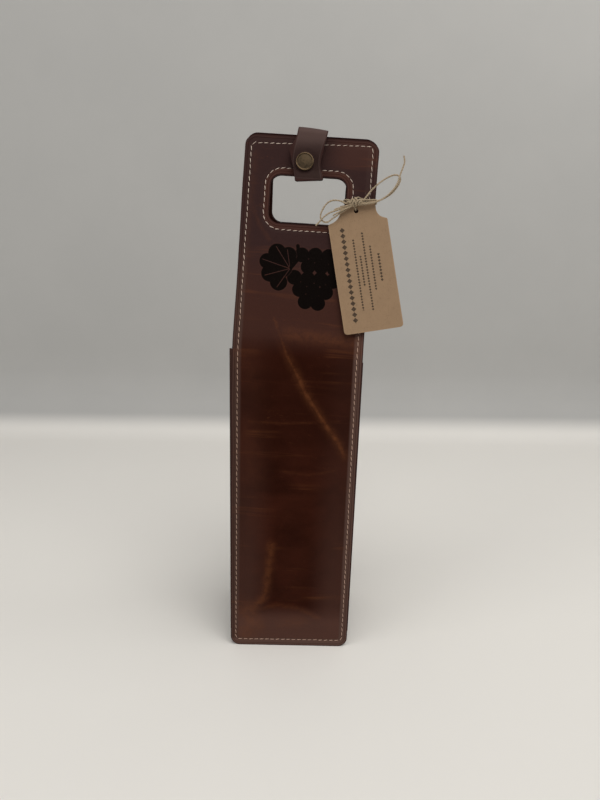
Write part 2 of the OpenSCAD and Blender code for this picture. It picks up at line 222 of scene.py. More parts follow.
class TagSettings(bpy.types.PropertyGroup):
    width: length("Width", 0.044, "Width of the card")
    height: length("Length", 0.095, "Length of the card")
    thickness: length("Thickness", 0.0006, "Thickness of the card")
    curl: length("Curl", 0.0012, "How far the card's lower end lifts")
    tone: colour("Card tone", (137, 112, 86), "Kraft card")
    fibre: colour("Fibre tone", (104, 80, 56), "Dark fibres in the card")
    print_tone: colour("Print", (48, 36, 26), "Printed ornament")


class TwineSettings(bpy.types.PropertyGroup):
    thickness: length("Thickness", 0.0012, "Thickness of the twine")
    lay: length("Lay", 0.0042, "Length of twine in one turn of its two plies")
    fibres: IntProperty(
        name="Stray fibres", description="Number of loose fibres", default=340, min=0, max=600)
    tone: colour("Jute tone", (164, 146, 120), "Jute")
    # Jute shade: painted shade in the grooves between the plies, and the darker fibres
    shade: colour("Jute shade", (84, 70, 50), "Jute between its plies")


class StageSettings(bpy.types.PropertyGroup):
    lens: FloatProperty(name="Lens", description="Focal length in millimetres", default=27.045)
    camera_x: length("Camera X", 0.0209, "Sideways place of the camera")
    camera_y: length("Camera Y", -0.4855, "Place of the camera in front of the carrier")
    camera_z: length("Camera Z", 0.3255, "Height of the camera")
    yaw: angle("Yaw", -1.51, "Turn to the right")
    pitch: angle("Pitch", 14.1, "Tilt downwards")
    roll: angle("Roll", 0.17, "Roll of the camera")
    floor: colour("Floor", (222, 219, 213), "Floor")
    wall: colour("Wall", (166, 165, 162), "Backdrop")


SETTINGS = {
    "carrier_leather": LeatherSettings,
    "carrier_seams": SeamSettings,
    "carrier_strap": StrapSettings,
    "carrier_tag": TagSettings,
    "carrier_twine": TwineSettings,
    "carrier_stage": StageSettings,
}


def risen(side):
    """How much higher a side's flap stands, with its cutout, than the front one."""
    return BACK_RISE if side == BACK else 0.0


def cutout(side):
    """Lowest and highest place of a side's cutout, on its flap."""
    return CUTOUT_LOW + risen(side), CUTOUT_HIGH + risen(side) + (BACK_CUTOUT_MORE if side == BACK else 0)


def smooth(share):
    """An even ease from 0 to 1."""
    share = np.clip(share, 0, 1)
    return share * share * (3 - 2 * share)


def bell(value, width, middle=0.0):
    """1 at the middle, falling off evenly on both sides."""
    return np.exp(-((value - middle) / width) ** 2)


def points(x, y, z):
    """One row of coordinates for each point, from numbers or arrays."""
    return np.stack(np.broadcast_arrays(
        np.asarray(x, float), np.asarray(y, float), np.asarray(z, float)), axis=-1)


def upper(x, y, z):
    """Points of the upper frame, which leans sideways from the fold line."""
    cos, sin = math.cos(FLAP_LEAN), math.sin(FLAP_LEAN)
    return points(SHOULDER_X + x * cos + z * sin, y, FOLD_Z - x * sin + z * cos)


def on_flap(x, y, z, side=FRONT):
    """Points of a flap's frame: x across, y inwards and z up the flap."""
    cos, sin = math.cos(FLAP_IN), math.sin(FLAP_IN)
    return upper(x, side * (HALF_MID - y * cos - z * sin), z * cos - y * sin)


def route_on_flap(route):
    """A route in the front flap's frame, written in millimetres."""
    x, y, z = np.array(route, float).T / 1000
    return on_flap(x, y, z)


def deselect():
    if bpy.context.object and bpy.context.object.mode != "OBJECT":
        bpy.ops.object.mode_set(mode="OBJECT")
    bpy.ops.object.select_all(action="DESELECT")


def only(piece):
    """Makes a piece the one selected and active object."""
    deselect()
    piece.select_set(True)
    bpy.context.view_layer.objects.active = piece
    return piece


def named(name):
    """The new primitive under its own name."""
    piece = bpy.context.object
    piece.name = piece.data.name = name
    return piece


def vertices(piece):
    co = np.zeros(len(piece.data.vertices) * 3)
    piece.data.vertices.foreach_get("co", co)
    return co.reshape(-1, 3)


def move_to(piece, co):
    piece.data.vertices.foreach_set("co", np.asarray(co, np.float32).ravel())
    piece.data.update()


def select_faces(piece, test):
    """Selects the faces whose middle passes a test, and nothing else."""
    mesh = piece.data
    mesh.vertices.foreach_set("select", np.zeros(len(mesh.vertices), bool))
    mesh.edges.foreach_set("select", np.zeros(len(mesh.edges), bool))
    mesh.polygons.foreach_set("select", np.zeros(len(mesh.polygons), bool))
    middle = np.zeros(len(mesh.polygons) * 3)
    mesh.polygons.foreach_get("center", middle)
    mesh.polygons.foreach_set("select", test(middle.reshape(-1, 3)))


def edit(piece, mode="FACE"):
    only(piece)
    bpy.ops.object.mode_set(mode="EDIT")
    bpy.ops.mesh.select_mode(type=mode)


def flip_faces(piece):
    edit(piece)
    bpy.ops.mesh.select_all(action="SELECT")
    bpy.ops.mesh.flip_normals()
    bpy.ops.object.mode_set(mode="OBJECT")


def face_outwards(piece, side):
    """Turns a sheet's faces over if they look the wrong way."""
    if piece.data.polygons[0].normal.y * side < 0:
        flip_faces(piece)


def duplicate(model):
    """A copy of a piece with a mesh of its own, in the scene."""
    copy = model.copy()
    copy.data = model.data.copy()
    bpy.context.scene.collection.objects.link(copy)
    return copy


def joined(pieces, name):
    """Several pieces as one."""
    deselect()
    for piece in pieces:
        piece.select_set(True)
    bpy.context.view_layer.objects.active = pieces[0]
    bpy.ops.object.join()
    pieces[0].name = pieces[0].data.name = name
    return pieces[0]


def grid(name, columns, rows):
    """A grid and each vertex's column and row."""
    deselect()
    bpy.ops.mesh.primitive_grid_add(x_subdivisions=columns, y_subdivisions=rows, size=1)
    piece = named(name)
    co = vertices(piece)
    column = np.rint((co[:, 0] + 0.5) * columns).astype(int)
    row = np.rint((co[:, 1] + 0.5) * rows).astype(int)
    return piece, column, row


def store(piece, name, values):
    """A number or a point for each vertex, which a material reads by name."""
    values = np.asarray(values, np.float32)
    kind, key = ("FLOAT", "value") if values.ndim == 1 else ("FLOAT_VECTOR", "vector")
    piece.data.attributes.new(name, kind, "POINT").data.foreach_set(key, values.ravel())


def modify(piece, kind, **settings):
    """Adds a modifier and applies it."""
    only(piece)
    modifier = piece.modifiers.new(kind.title(), kind)
    for key, value in settings.items():
        setattr(modifier, key, value)
    bpy.ops.object.modifier_apply(modifier=modifier.name)


def thicken(piece, thickness, rounding):
    """Gives a sheet its thickness, behind its face, and rounds the cut edges."""
    modify(piece, "SOLIDIFY", thickness=thickness, offset=-1, use_even_offset=True)
    modify(piece, "BEVEL", width=rounding, segments=3, limit_method="ANGLE",
           angle_limit=math.radians(50), harden_normals=False, loop_slide=True)


def clean(piece, distance=1e-6):
    """Merges doubles and turns the faces outwards."""
    edit(piece, "VERT")
    bpy.ops.mesh.select_all(action="SELECT")
    bpy.ops.mesh.remove_doubles(threshold=distance)
    bpy.ops.mesh.normals_make_consistent(inside=False)
    bpy.ops.object.mode_set(mode="OBJECT")


def finish_piece(piece, material, slot, smooth_angle=math.radians(40)):
    """Smooth shading, the material and the record's slot."""
    piece.data.materials.clear()
    piece.data.materials.append(material)
    only(piece)
    bpy.ops.object.shade_smooth_by_angle(angle=smooth_angle)
    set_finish(piece, slot)
    deselect()
    return piece


def node(tree, kind, inputs=(), **settings):
    """Adds a shader node; each input is a number, a colour or another node's socket."""
    made = tree.nodes.new("ShaderNode" + kind)
    for key, value in settings.items():
        setattr(made, key, value)
    for key, value in dict(inputs).items():
        if isinstance(value, bpy.types.NodeSocket):
            tree.links.new(value, made.inputs[key])
        else:
            made.inputs[key].default_value = value
    return made


def calc(tree, operation, *values, clamp=False):
    return node(tree, "Math", enumerate(values), operation=operation, use_clamp=clamp).outputs[0]


def folded(tree, operation, masks):
    """Several values as one, such as their product or the least of them."""
    result = masks[0]
    for mask in masks[1:]:
        result = calc(tree, operation, result, mask)
    return result


def remap(tree, value, low, high, to_low=0.0, to_high=1.0):
    """Eases a value from one span to another."""
    inputs = {"Value": value, "From Min": low, "From Max": high, "To Min": to_low, "To Max": to_high}
    return node(tree, "MapRange", inputs, interpolation_type="SMOOTHSTEP").outputs[0]


def blend_colour(tree, share, first, second, how="MIX"):
    mixer = node(tree, "Mix", data_type="RGBA", blend_type=how)
    for socket, value in ((mixer.inputs[0], share), (mixer.inputs[6], first), (mixer.inputs[7], second)):
        if isinstance(value, bpy.types.NodeSocket):
            tree.links.new(value, socket)
        elif socket.type == "RGBA":
            socket.default_value = (*value[:3], 1)
        else:
            socket.default_value = value
    return mixer.outputs[2]


def tint(tree, tone, other, share, amount):
    """A tone blended towards another one by a mask, as far as an amount."""
    return blend_colour(tree, calc(tree, "MULTIPLY", share, amount), tone, other)


def times(tone, factor):
    """A colour made lighter or darker."""
    return [min(1, value * factor) for value in tone]


def noise(tree, vector, scale, detail=3.0, roughness=0.5, distortion=0.0):
    inputs = {"Vector": vector, "Scale": scale, "Detail": detail,
              "Roughness": roughness, "Distortion": distortion}
    return node(tree, "TexNoise", inputs).outputs[0]


def stretched(tree, vector, scale):
    return node(tree, "VectorMath", {0: vector, 1: scale}, operation="MULTIPLY").outputs[0]


def read(tree, name, output="Vector"):
    """An attribute of the piece."""
    return node(tree, "Attribute", attribute_name=name).outputs[output]


def place(tree):
    return node(tree, "TexCoord").outputs["Object"]


def height_of(tree, vector):
    return node(tree, "SeparateXYZ", {0: vector}).outputs["Z"]


def group(name, inputs, outputs):
    """A new node group, with its own inputs and the places that its outputs go to."""
    tree = bpy.data.node_groups.new(name, "ShaderNodeTree")
    for label, kind, default in inputs:
        socket = tree.interface.new_socket(label, in_out="INPUT", socket_type="NodeSocket" + kind)
        if default is not None:
            socket.default_value = default
    for label in outputs:
        tree.interface.new_socket(label, in_out="OUTPUT", socket_type="NodeSocketFloat")
    return tree, tree.nodes.new("NodeGroupInput").outputs, tree.nodes.new("NodeGroupOutput").inputs


def use(tree, effect, inputs):
    return node(tree, "Group", inputs, node_tree=effect).outputs


def grain_effect():
    """Fine leather grain: small cells, pores and wrinkles."""
    tree, given, result = group(
        "Leather grain", [("Vector", "Vector", None), ("Cell", "Float", 0.0011)], ["Height", "Pores"])
    scale = calc(tree, "DIVIDE", 1.0, given["Cell"])
    warp = node(tree, "TexNoise", {"Vector": given["Vector"], "Scale": 260.0, "Detail": 2.0}).outputs["Color"]
    bent = node(tree, "VectorMath", {0: warp, 1: (0.0006,) * 3, 2: given["Vector"]},
                operation="MULTIPLY_ADD").outputs[0]
    cells = node(tree, "TexVoronoi", {"Vector": bent, "Scale": scale}, feature="DISTANCE_TO_EDGE")
    valleys = remap(tree, cells.outputs["Distance"], 0.0, 0.16)
    fine = noise(tree, given["Vector"], calc(tree, "MULTIPLY", scale, 2.3), 3.0, 0.6)
    wrinkles = noise(tree, stretched(tree, given["Vector"], (60.0, 150.0, 110.0)), 1.0, 4.0, 0.6, 0.4)
    height = calc(tree, "MULTIPLY_ADD", fine, 0.45, calc(tree, "MULTIPLY", valleys, 0.35))
    tree.links.new(calc(tree, "MULTIPLY_ADD", wrinkles, 0.5, height), result["Height"])
    spots = node(tree, "TexVoronoi", {"Vector": bent, "Scale": calc(tree, "MULTIPLY", scale, 0.6)})
    tree.links.new(remap(tree, spots.outputs["Distance"], 0.16, 0.05), result["Pores"])
    return tree


def cloud_effect():
    """Uneven dye and wax: broad clouds, streaks across the hide and small light scuffs."""
    tree, given, result = group("Hide clouds", [("Vector", "Vector", None)], ["Cloud", "Streak", "Scuff"])
    vector = given["Vector"]
    broad = noise(tree, vector, 17.0, 5.0, 0.55, 0.8)
    middle = noise(tree, stretched(tree, vector, (30.0, 55.0, 45.0)), 1.0, 4.0, 0.6, 0.6)
    both = calc(tree, "MULTIPLY_ADD", broad, 0.65, calc(tree, "MULTIPLY", middle, 0.35))
    tree.links.new(remap(tree, both, 0.36, 0.64), result["Cloud"])
    lines = noise(tree, stretched(tree, vector, (9.0, 170.0, 90.0)), 1.0, 3.0, 0.55, 0.5)
    gate = remap(tree, noise(tree, vector, 22.0, 2.0), 0.42, 0.62)
    tree.links.new(calc(tree, "MULTIPLY", remap(tree, lines, 0.56, 0.72), gate), result["Streak"])
    marks = noise(tree, stretched(tree, vector, (160.0, 420.0, 300.0)), 1.0, 4.0, 0.7, 1.2)
    patch = remap(tree, noise(tree, vector, 34.0, 2.0), 0.5, 0.7)
    tree.links.new(calc(tree, "MULTIPLY", remap(tree, marks, 0.58, 0.7), patch), result["Scuff"])
    return tree


def cut_edge_effect():
    """Masks from the distance to a cut edge: the burnished rim and the creased line beside it."""
    tree, given, result = group(
        "Cut edge", [("Margin", "Float", 0.01), ("Line at", "Float", 0.0022)], ["Rim", "Line", "Seam"])
    margin = given["Margin"]
    tree.links.new(remap(tree, margin, 0.0011, 0.0003), result["Rim"])
    away = calc(tree, "ABSOLUTE", calc(tree, "SUBTRACT", margin, given["Line at"]))
    tree.links.new(remap(tree, away, 0.0005, 0.0001), result["Line"])
    tree.links.new(remap(tree, margin, 0.0078, 0.0056), result["Seam"])
    return tree


# The stamped mark: berries, leaf lobes with their radii, veins and stem, from the mark's middle
MARK_AT = (-0.0046, FOLD_Z + 0.0612, 0.0)
GRAPES = [
    (-0.0015, -0.0010), (0.0082, 0.0075), (0.0180, 0.0080), (0.0278, 0.0070), (0.0030, 0.0160),
    (0.0130, 0.0165), (0.0230, 0.0160), (0.0085, -0.0015), (0.0182, -0.0012), (0.0272, -0.0022),
    (0.0030, -0.0098), (0.0130, -0.0102), (0.0225, -0.0108), (0.0078, -0.0186), (0.0172, -0.0192)]
GRAPE_R = 0.0053
LEAF_LOBES = [
    (-0.0125, 0.0070, 0.0090), (-0.0200, 0.0010, 0.0062), (-0.0225, 0.0098, 0.0056),
    (-0.0155, 0.0166, 0.0064), (-0.0070, 0.0150, 0.0060), (-0.0130, -0.0052, 0.0062)]
LEAF_BASE = (-0.0052, 0.0052)
LEAF_VEINS = [(LEAF_BASE, tip) for tip in (
    (-0.0235, -0.0008), (-0.0260, 0.0110), (-0.0165, 0.0210), (-0.0080, 0.0190), (-0.0140, -0.0090))]
STEM = [((-0.0045, 0.0060), (0.0010, 0.0135)), ((0.0010, 0.0135), (-0.0005, 0.0225))]
STEM_HALF = 0.0011


def to_point(tree, vector, centre):
    return node(tree, "VectorMath", {0: vector, 1: (*centre, 0)}, operation="DISTANCE").outputs["Value"]


def to_segment(tree, vector, first, last):
    """Distance to a straight line between two points."""
    along = Vector((last[0] - first[0], last[1] - first[1], 0))
    offset = node(tree, "VectorMath", {0: vector, 1: (*first, 0)}, operation="SUBTRACT").outputs[0]
    dot = node(tree, "VectorMath", {0: offset, 1: along / along.length_squared},
               operation="DOT_PRODUCT").outputs["Value"]
    share = calc(tree, "ADD", dot, 0.0, clamp=True)
    foot = node(tree, "VectorMath", {0: along, "Scale": share}, operation="SCALE").outputs[0]
    return node(tree, "VectorMath", {0: offset, 1: foot}, operation="DISTANCE").outputs["Value"]


def mark_effect():
    """A bunch of grapes with one leaf, as masks of its black and of its raised rim, where a highlight is
    painted.
    """
    tree, given, result = group("Grape mark", [("Vector", "Vector", None)], ["Mask", "Rim"])
    vector = given["Vector"]
    berries = folded(tree, "MINIMUM", [to_point(tree, vector, centre) for centre in GRAPES])
    berries = calc(tree, "SUBTRACT", berries, GRAPE_R)
    lobes = folded(tree, "MINIMUM", [
        calc(tree, "SUBTRACT", to_point(tree, vector, (x, y)), radius) for x, y, radius in LEAF_LOBES])
    veins = folded(tree, "MINIMUM", [to_segment(tree, vector, *ends) for ends in LEAF_VEINS])
    berries = calc(tree, "MAXIMUM", berries, calc(tree, "SUBTRACT", 0.0007, lobes))
    leaf = calc(tree, "MAXIMUM", lobes, calc(tree, "SUBTRACT", 0.0005, veins))
    stem = folded(tree, "MINIMUM", [to_segment(tree, vector, *ends) for ends in STEM])
    stem = calc(tree, "SUBTRACT", stem, STEM_HALF)
    shape = folded(tree, "MINIMUM", [berries, leaf, stem])
    ragged = calc(tree, "MULTIPLY_ADD", noise(tree, vector, 900.0, 2.0), 0.00025, shape)
    tree.links.new(remap(tree, ragged, 0.00048, 0.00024), result["Mask"])
    away = calc(tree, "ABSOLUTE", calc(tree, "SUBTRACT", shape, 0.0006))
    tree.links.new(remap(tree, away, 0.0005, 0.0001), result["Rim"])
    return tree


def fibre_effect():
    """Short crossed fibres, as a mask and a height."""
    tree, given, result = group(
        "Fibres", [("Vector", "Vector", None), ("Fine", "Float", 900.0)], ["Mask", "Height"])
    masks = []
    for stretch in ((1.0, 0.12, 0.4), (0.14, 1.0, 0.4), (0.55, 0.3, 1.0)):
        strands = noise(tree, stretched(tree, given["Vector"], stretch), given["Fine"], 2.0, 0.5, 1.5)
        masks.append(remap(tree, strands, 0.62, 0.72))
    most = folded(tree, "MAXIMUM", masks)
    tree.links.new(most, result["Mask"])
    fine = noise(tree, given["Vector"], given["Fine"], 4.0, 0.6)
    tree.links.new(calc(tree, "MULTIPLY_ADD", most, 0.5, fine), result["Height"])
    return tree


effects = {}


def effect(make):
    """A shared effect's group, built the first time that a material asks for it."""
    key = make.__name__
    if key not in effects:
        effects[key] = make()
    return effects[key]


def new_material(name):
    """An empty material with its Principled shader."""
    material = bpy.data.materials.new(name)
    material.use_nodes = True
    tree = material.node_tree
    tree.nodes.clear()
    shader = tree.nodes.new("ShaderNodeBsdfPrincipled")
    output = tree.nodes.new("ShaderNodeOutputMaterial")
    tree.links.new(shader.outputs[0], output.inputs["Surface"])
    return material, tree, shader


def dress(tree, shader, colour_socket, roughness, height, depth, strength=1.0, **plain):
    """Links the parts that change over the surface, and sets the plain ones."""
    tree.links.new(colour_socket, shader.inputs["Base Color"])
    if isinstance(roughness, bpy.types.NodeSocket):
        tree.links.new(roughness, shader.inputs["Roughness"])
    else:
        shader.inputs["Roughness"].default_value = roughness
    bump = node(tree, "Bump", {"Height": height, "Distance": depth, "Strength": strength})
    tree.links.new(bump.outputs[0], shader.inputs["Normal"])
    for key, value in plain.items():
        shader.inputs[key.replace("_", " ")].default_value = value


def settings(name):
    return getattr(bpy.context.scene, name)


# Tint of the highlights on waxed leather
WAX_TINT = (1.0, 0.72, 0.55, 1.0)


def panel_leather(name, marked):
    """Waxed pull-up leather of a panel, read from the panel's own flat coordinates."""
    look = settings("carrier_leather")
    material, tree, shader = new_material(name)
    flat, pull = read(tree, "flat"), read(tree, "pull")
    grain = use(tree, effect(grain_effect), {"Vector": flat, "Cell": 0.0009})
    cloud = use(tree, effect(cloud_effect), {"Vector": flat})
    margin = read(tree, "margin", "Fac")
    edge = use(tree, effect(cut_edge_effect), {"Margin": margin})
    crease_away, crease_strength, other_wear = node(tree, "SeparateXYZ", {0: pull}).outputs
    across, height_up = node(tree, "SeparateXYZ", {0: flat}).outputs[:2]
    tone = blend_colour(tree, cloud["Cloud"], look.dark, look.warm)
    aside = calc(tree, "ABSOLUTE", across)
    # Lighter towards the pocket's sides and foot: rubbed wear, and along the foot a painted highlight as well
    low_down = remap(tree, height_up, 0.200, 0.030, 0.18, 0.62)
    worn_side = calc(tree, "MULTIPLY", remap(tree, aside, 0.012, 0.036), low_down)
    foot_wear_and_highlight = remap(tree, height_up, 0.041, 0.020, 0.0, 0.90)
    tone = blend_colour(tree, calc(tree, "MAXIMUM", worn_side, foot_wear_and_highlight), tone, look.rubbed)
    # Painted highlight: the foot lighter still
    foot_highlight = remap(tree, height_up, 0.041, 0.020, 0.0, 0.7)
    tone = blend_colour(tree, foot_highlight, tone, times(look.rubbed, 1.35))
    # Painted shade: the pocket darker towards its top below the fold, most in the middle
    inmost = remap(tree, aside, 0.038, 0.020, 0.45, 1.0)
    shade_up = calc(tree, "MULTIPLY", remap(tree, height_up, 0.160, 0.200, 0.0, 0.55), inmost)
    tone = blend_colour(tree, shade_up, tone, look.dark)
    # Painted light: the flap above the fold lighter, where it faces up to the ceiling lamp
    tone = blend_colour(tree, remap(tree, height_up, 0.246, 0.268, 0.0, 0.82), tone, look.flap_highlight_tone)
    # Painted sheen on the raised margins outside the seams, brighter on the right-hand margins
    tone = tint(tree, tone, look.margin_sheen_tone, edge["Seam"], 0.85)
    right_margin_sheen = calc(tree, "MULTIPLY", edge["Seam"], remap(tree, across, 0.030, 0.044, 0.0, 0.8))
    tone = blend_colour(tree, right_margin_sheen, tone, times(look.margin_sheen_tone, 1.5))
    # Painted reflection: the upper flap greyer towards the handle
    tone = blend_colour(tree, remap(tree, height_up, 0.278, 0.340, 0.0, 0.85), tone, look.grip_reflection_tone)
    by_hole = folded(tree, "MULTIPLY", [
        remap(tree, margin, 0.0049, 0.0041), remap(tree, aside, 0.040, 0.037),
        remap(tree, height_up, 0.334, 0.338), remap(tree, height_up, 0.396, 0.392, 0.0, 0.42)])
    warm_bar = calc(tree, "MULTIPLY", remap(tree, height_up, 0.386, 0.394, 0.0, 0.3),
                    remap(tree, across, 0.005, 0.030))
    tone = blend_colour(tree, calc(tree, "MAXIMUM", by_hole, warm_bar), tone, look.rim_tone)
    # Painted sheen, brighter still, below the lowest row of stitches
    under_row = remap(tree, height_up, 0.0075, 0.0050, 0.0, 0.85)
    tone = blend_colour(tree, under_row, tone, times(look.margin_sheen_tone, 1.7))
    tone = tint(tree, tone, look.pulled, cloud["Streak"], 0.22)
    tone = tint(tree, tone, look.pulled, cloud["Scuff"], 0.16)
    uneven = remap(tree, noise(tree, flat, 190.0, 3.0, 0.6), 0.3, 0.62, 0.35, 1.0)
    width = remap(tree, noise(tree, flat, 60.0, 2.0), 0.3, 0.7, 0.0014, 0.0028)
    crease = calc(tree, "SUBTRACT", 1.0, calc(tree, "DIVIDE", crease_away, width), clamp=True)
    crease = calc(tree, "MULTIPLY", calc(tree, "MULTIPLY", crease, uneven), crease_strength)
    pulled = calc(tree, "MAXIMUM", crease, calc(tree, "MULTIPLY", other_wear, uneven))
    tone = tint(tree, tone, look.pulled, pulled, 0.75)
    tone = tint(tree, tone, look.dark, grain["Pores"], 0.35)
    tone = tint(tree, tone, look.dark, edge["Line"], 0.45)
    tone = blend_colour(tree, edge["Rim"], tone, look.edge)
    waxed = calc(tree, "MULTIPLY_ADD", pulled, 0.6, cloud["Cloud"])
    rough = remap(tree, waxed, 0.0, 1.4, 0.44, 0.6)
    height = calc(tree, "MULTIPLY_ADD", edge["Line"], -1.3, grain["Height"])
    height = calc(tree, "MULTIPLY_ADD", crease, 0.8, height)
    if marked:
        centre = node(tree, "VectorMath", {0: flat, 1: MARK_AT}, operation="SUBTRACT").outputs[0]
        stamped = use(tree, effect(mark_effect), {"Vector": centre})
        mark = stamped["Mask"]
        patchy = remap(tree, noise(tree, flat, 700.0, 4.0, 0.7), 0.2, 0.4, 0.9, 1.0)
        worn = calc(tree, "MULTIPLY", mark, patchy)
        # Painted highlight on the thin ring round the stamped mark, in the flap's highlight colour
        tone = tint(tree, tone, look.flap_highlight_tone, stamped["Rim"], 0.35)
        tone = blend_colour(tree, worn, tone, look.mark)
        rough = calc(tree, "MULTIPLY_ADD", mark, 0.08, rough)
        height = calc(tree, "MULTIPLY_ADD", mark, -0.7, height)
    dress(tree, shader, tone, rough, height, 0.00022, 0.55, Specular_IOR_Level=0.04, Specular_Tint=WAX_TINT)
    return material


def plain_leather(name, tone, dark, cell=0.001, rough=(0.5, 0.64), bump=0.5, top=None, flange=None):
    """Leather of one tone: strap, lining and gusset."""
    look = settings("carrier_leather")
    material, tree, shader = new_material(name)
    vector = place(tree)
    grain = use(tree, effect(grain_effect), {"Vector": vector, "Cell": cell})
    cloud = use(tree, effect(cloud_effect), {"Vector": vector})
    edge = use(tree, effect(cut_edge_effect), {"Margin": read(tree, "margin", "Fac"), "Line at": 0.0015})
    colour_socket = tint(tree, dark, tone, cloud["Cloud"], 0.8)
    if top is not None:
        # Painted highlight: lighter where the strap bends over the bar and along its creased edge lines
        height_up = height_of(tree, vector)
        colour_socket = blend_colour(tree, remap(tree, height_up, 0.388, 0.412), colour_socket, top)
        colour_socket = tint(tree, colour_socket, top, edge["Line"], 0.35)
    if flange is not None:
        # Painted sheen on the gusset's outermost flange
        outermost = remap(tree, read(tree, "margin", "Fac"), 0.0055, 0.0040, 0.0, 0.8)
        colour_socket = blend_colour(tree, outermost, colour_socket, flange)
    colour_socket = tint(tree, colour_socket, look.pulled, cloud["Scuff"], 0.2)
    colour_socket = tint(tree, colour_socket, dark, grain["Pores"], 0.3)
    colour_socket = tint(tree, colour_socket, look.edge, edge["Rim"], 0.85)
    roughness = remap(tree, cloud["Cloud"], 0.0, 1.0, *rough)
    dress(tree, shader, colour_socket, roughness, grain["Height"], 0.0002, bump, Specular_IOR_Level=0.08,
          Specular_Tint=WAX_TINT)
    return material


def thread_material():
    """Waxed thread with its fibres."""
    look = settings("carrier_seams")
    material, tree, shader = new_material("waxed_thread")
    vector = place(tree)
    fibres = use(tree, effect(fibre_effect), {"Vector": vector, "Fine": 2600.0})
    dirt = remap(tree, noise(tree, vector, 60.0, 4.0, 0.6), 0.35, 0.65, 0.0, 0.45)
    shade = times(look.tone, 0.55)
    height_up = height_of(tree, vector)
    tone = blend_colour(tree, remap(tree, height_up, 0.25, 0.36), look.tone, look.clean_tone)
    tone = blend_colour(tree, dirt, tone, shade)
    tone = tint(tree, tone, shade, fibres["Mask"], 0.35)
    dress(tree, shader, tone, 0.62, fibres["Height"], 0.0001, 0.7, Sheen_Weight=0.15, Specular_IOR_Level=0.3)
    return material


def brass_material():
    """Antiqued brass: dark in the hollows, lighter on the rims, where the metal is rubbed bright and a
    highlight is painted.
    """
    look = settings("carrier_strap")
    material, tree, shader = new_material("antique_brass")
    vector = place(tree)
    patina = noise(tree, vector, 420.0, 5.0, 0.65, 0.6)
    speck = noise(tree, vector, 2600.0, 3.0, 0.6)
    # Lighter on the rims: rubbed metal, with a painted highlight
    rubbed = calc(tree, "MULTIPLY", read(tree, "rub_highlight", "Fac"), remap(tree, patina, 0.3, 0.6, 0.55, 1.0))
    tone = blend_colour(tree, remap(tree, patina, 0.35, 0.68, 0.0, 0.5), look.aged, look.brass)
    tone = blend_colour(tree, rubbed, tone, times(look.brass, 1.3))
    tone = blend_colour(tree, remap(tree, speck, 0.56, 0.68, 0.0, 0.6), tone, times(look.aged, 0.4))
    dull = calc(tree, "SUBTRACT", patina, calc(tree, "MULTIPLY", rubbed, 0.3))
    rough = remap(tree, dull, 0.1, 0.7, 0.28, 0.58)
    height = calc(tree, "MULTIPLY_ADD", speck, 0.4, patina)
    dress(tree, shader, tone, rough, height, 0.0001, 0.45, Metallic=0.85)
    return material


def card_material():
    """Kraft card with dark and light fibres, and its printed ornament."""
    look = settings("carrier_tag")
    material, tree, shader = new_material("kraft_card")
    flat = read(tree, "flat")
    fibres = use(tree, effect(fibre_effect), {"Vector": flat, "Fine": 1500.0})
    shorter = use(tree, effect(fibre_effect), {"Vector": flat, "Fine": 3100.0})
    blotch = remap(tree, noise(tree, flat, 110.0, 4.0, 0.6), 0.3, 0.7, 0.0, 0.3)
    tone = blend_colour(tree, blotch, look.tone, times(look.tone, 0.82))
    tone = tint(tree, tone, look.fibre, fibres["Mask"], 0.35)
    tone = tint(tree, tone, times(look.tone, 1.3), shorter["Mask"], 0.25)
    pale_edge = remap(tree, read(tree, "margin", "Fac"), 0.0009, 0.0001, 0.0, 0.35)
    tone = blend_colour(tree, pale_edge, tone, times(look.tone, 1.35))
    ink = remap(tree, noise(tree, flat, 1900.0, 3.0), 0.3, 0.5, 0.55, 0.95)
    printed = calc(tree, "MULTIPLY", print_mask(tree, flat), ink)
    tone = blend_colour(tree, printed, tone, look.print_tone)
    dress(tree, shader, tone, 0.82, fibres["Height"], 0.0001, 0.35, Specular_IOR_Level=0.25)
    return material


# Rows of the tag's ornament: place across, lower and upper end, half width and pitch
PRINT_ROWS = [
    (-0.0124, -0.0825, -0.0105, 0.0021, 0.0042), (-0.0054, -0.0735, -0.0200, 0.0010, 0.0021),
    (-0.0018, -0.0560, -0.0330, 0.0010, 0.0021), (0.0018, -0.0745, -0.0155, 0.0010, 0.0021),
    (0.0062, -0.0600, -0.0260, 0.0010, 0.0021), (0.0116, -0.0540, -0.0330, 0.0012, 0.0024)]
PRINT_FADE = 0.0002


def print_mask(tree, flat):
    """Rows of small printed diamonds and dots, which run along the card."""
    across, along = node(tree, "SeparateXYZ", {0: flat}).outputs[:2]
    masks = []
    for middle, low, high, half, pitch in PRINT_ROWS:
        offset = calc(tree, "DIVIDE", calc(tree, "ABSOLUTE", calc(tree, "SUBTRACT", across, middle)), half)
        beat = calc(tree, "DIVIDE", calc(tree, "PINGPONG", along, pitch / 2), pitch / 2)
        shape = remap(tree, calc(tree, "ADD", offset, beat), 1.02, 0.86)
        inside = calc(tree, "MULTIPLY", remap(tree, along, low, low + PRINT_FADE),
                      remap(tree, along, high, high - PRINT_FADE))
        masks.append(calc(tree, "MULTIPLY", shape, inside))
    return folded(tree, "MAXIMUM", masks)


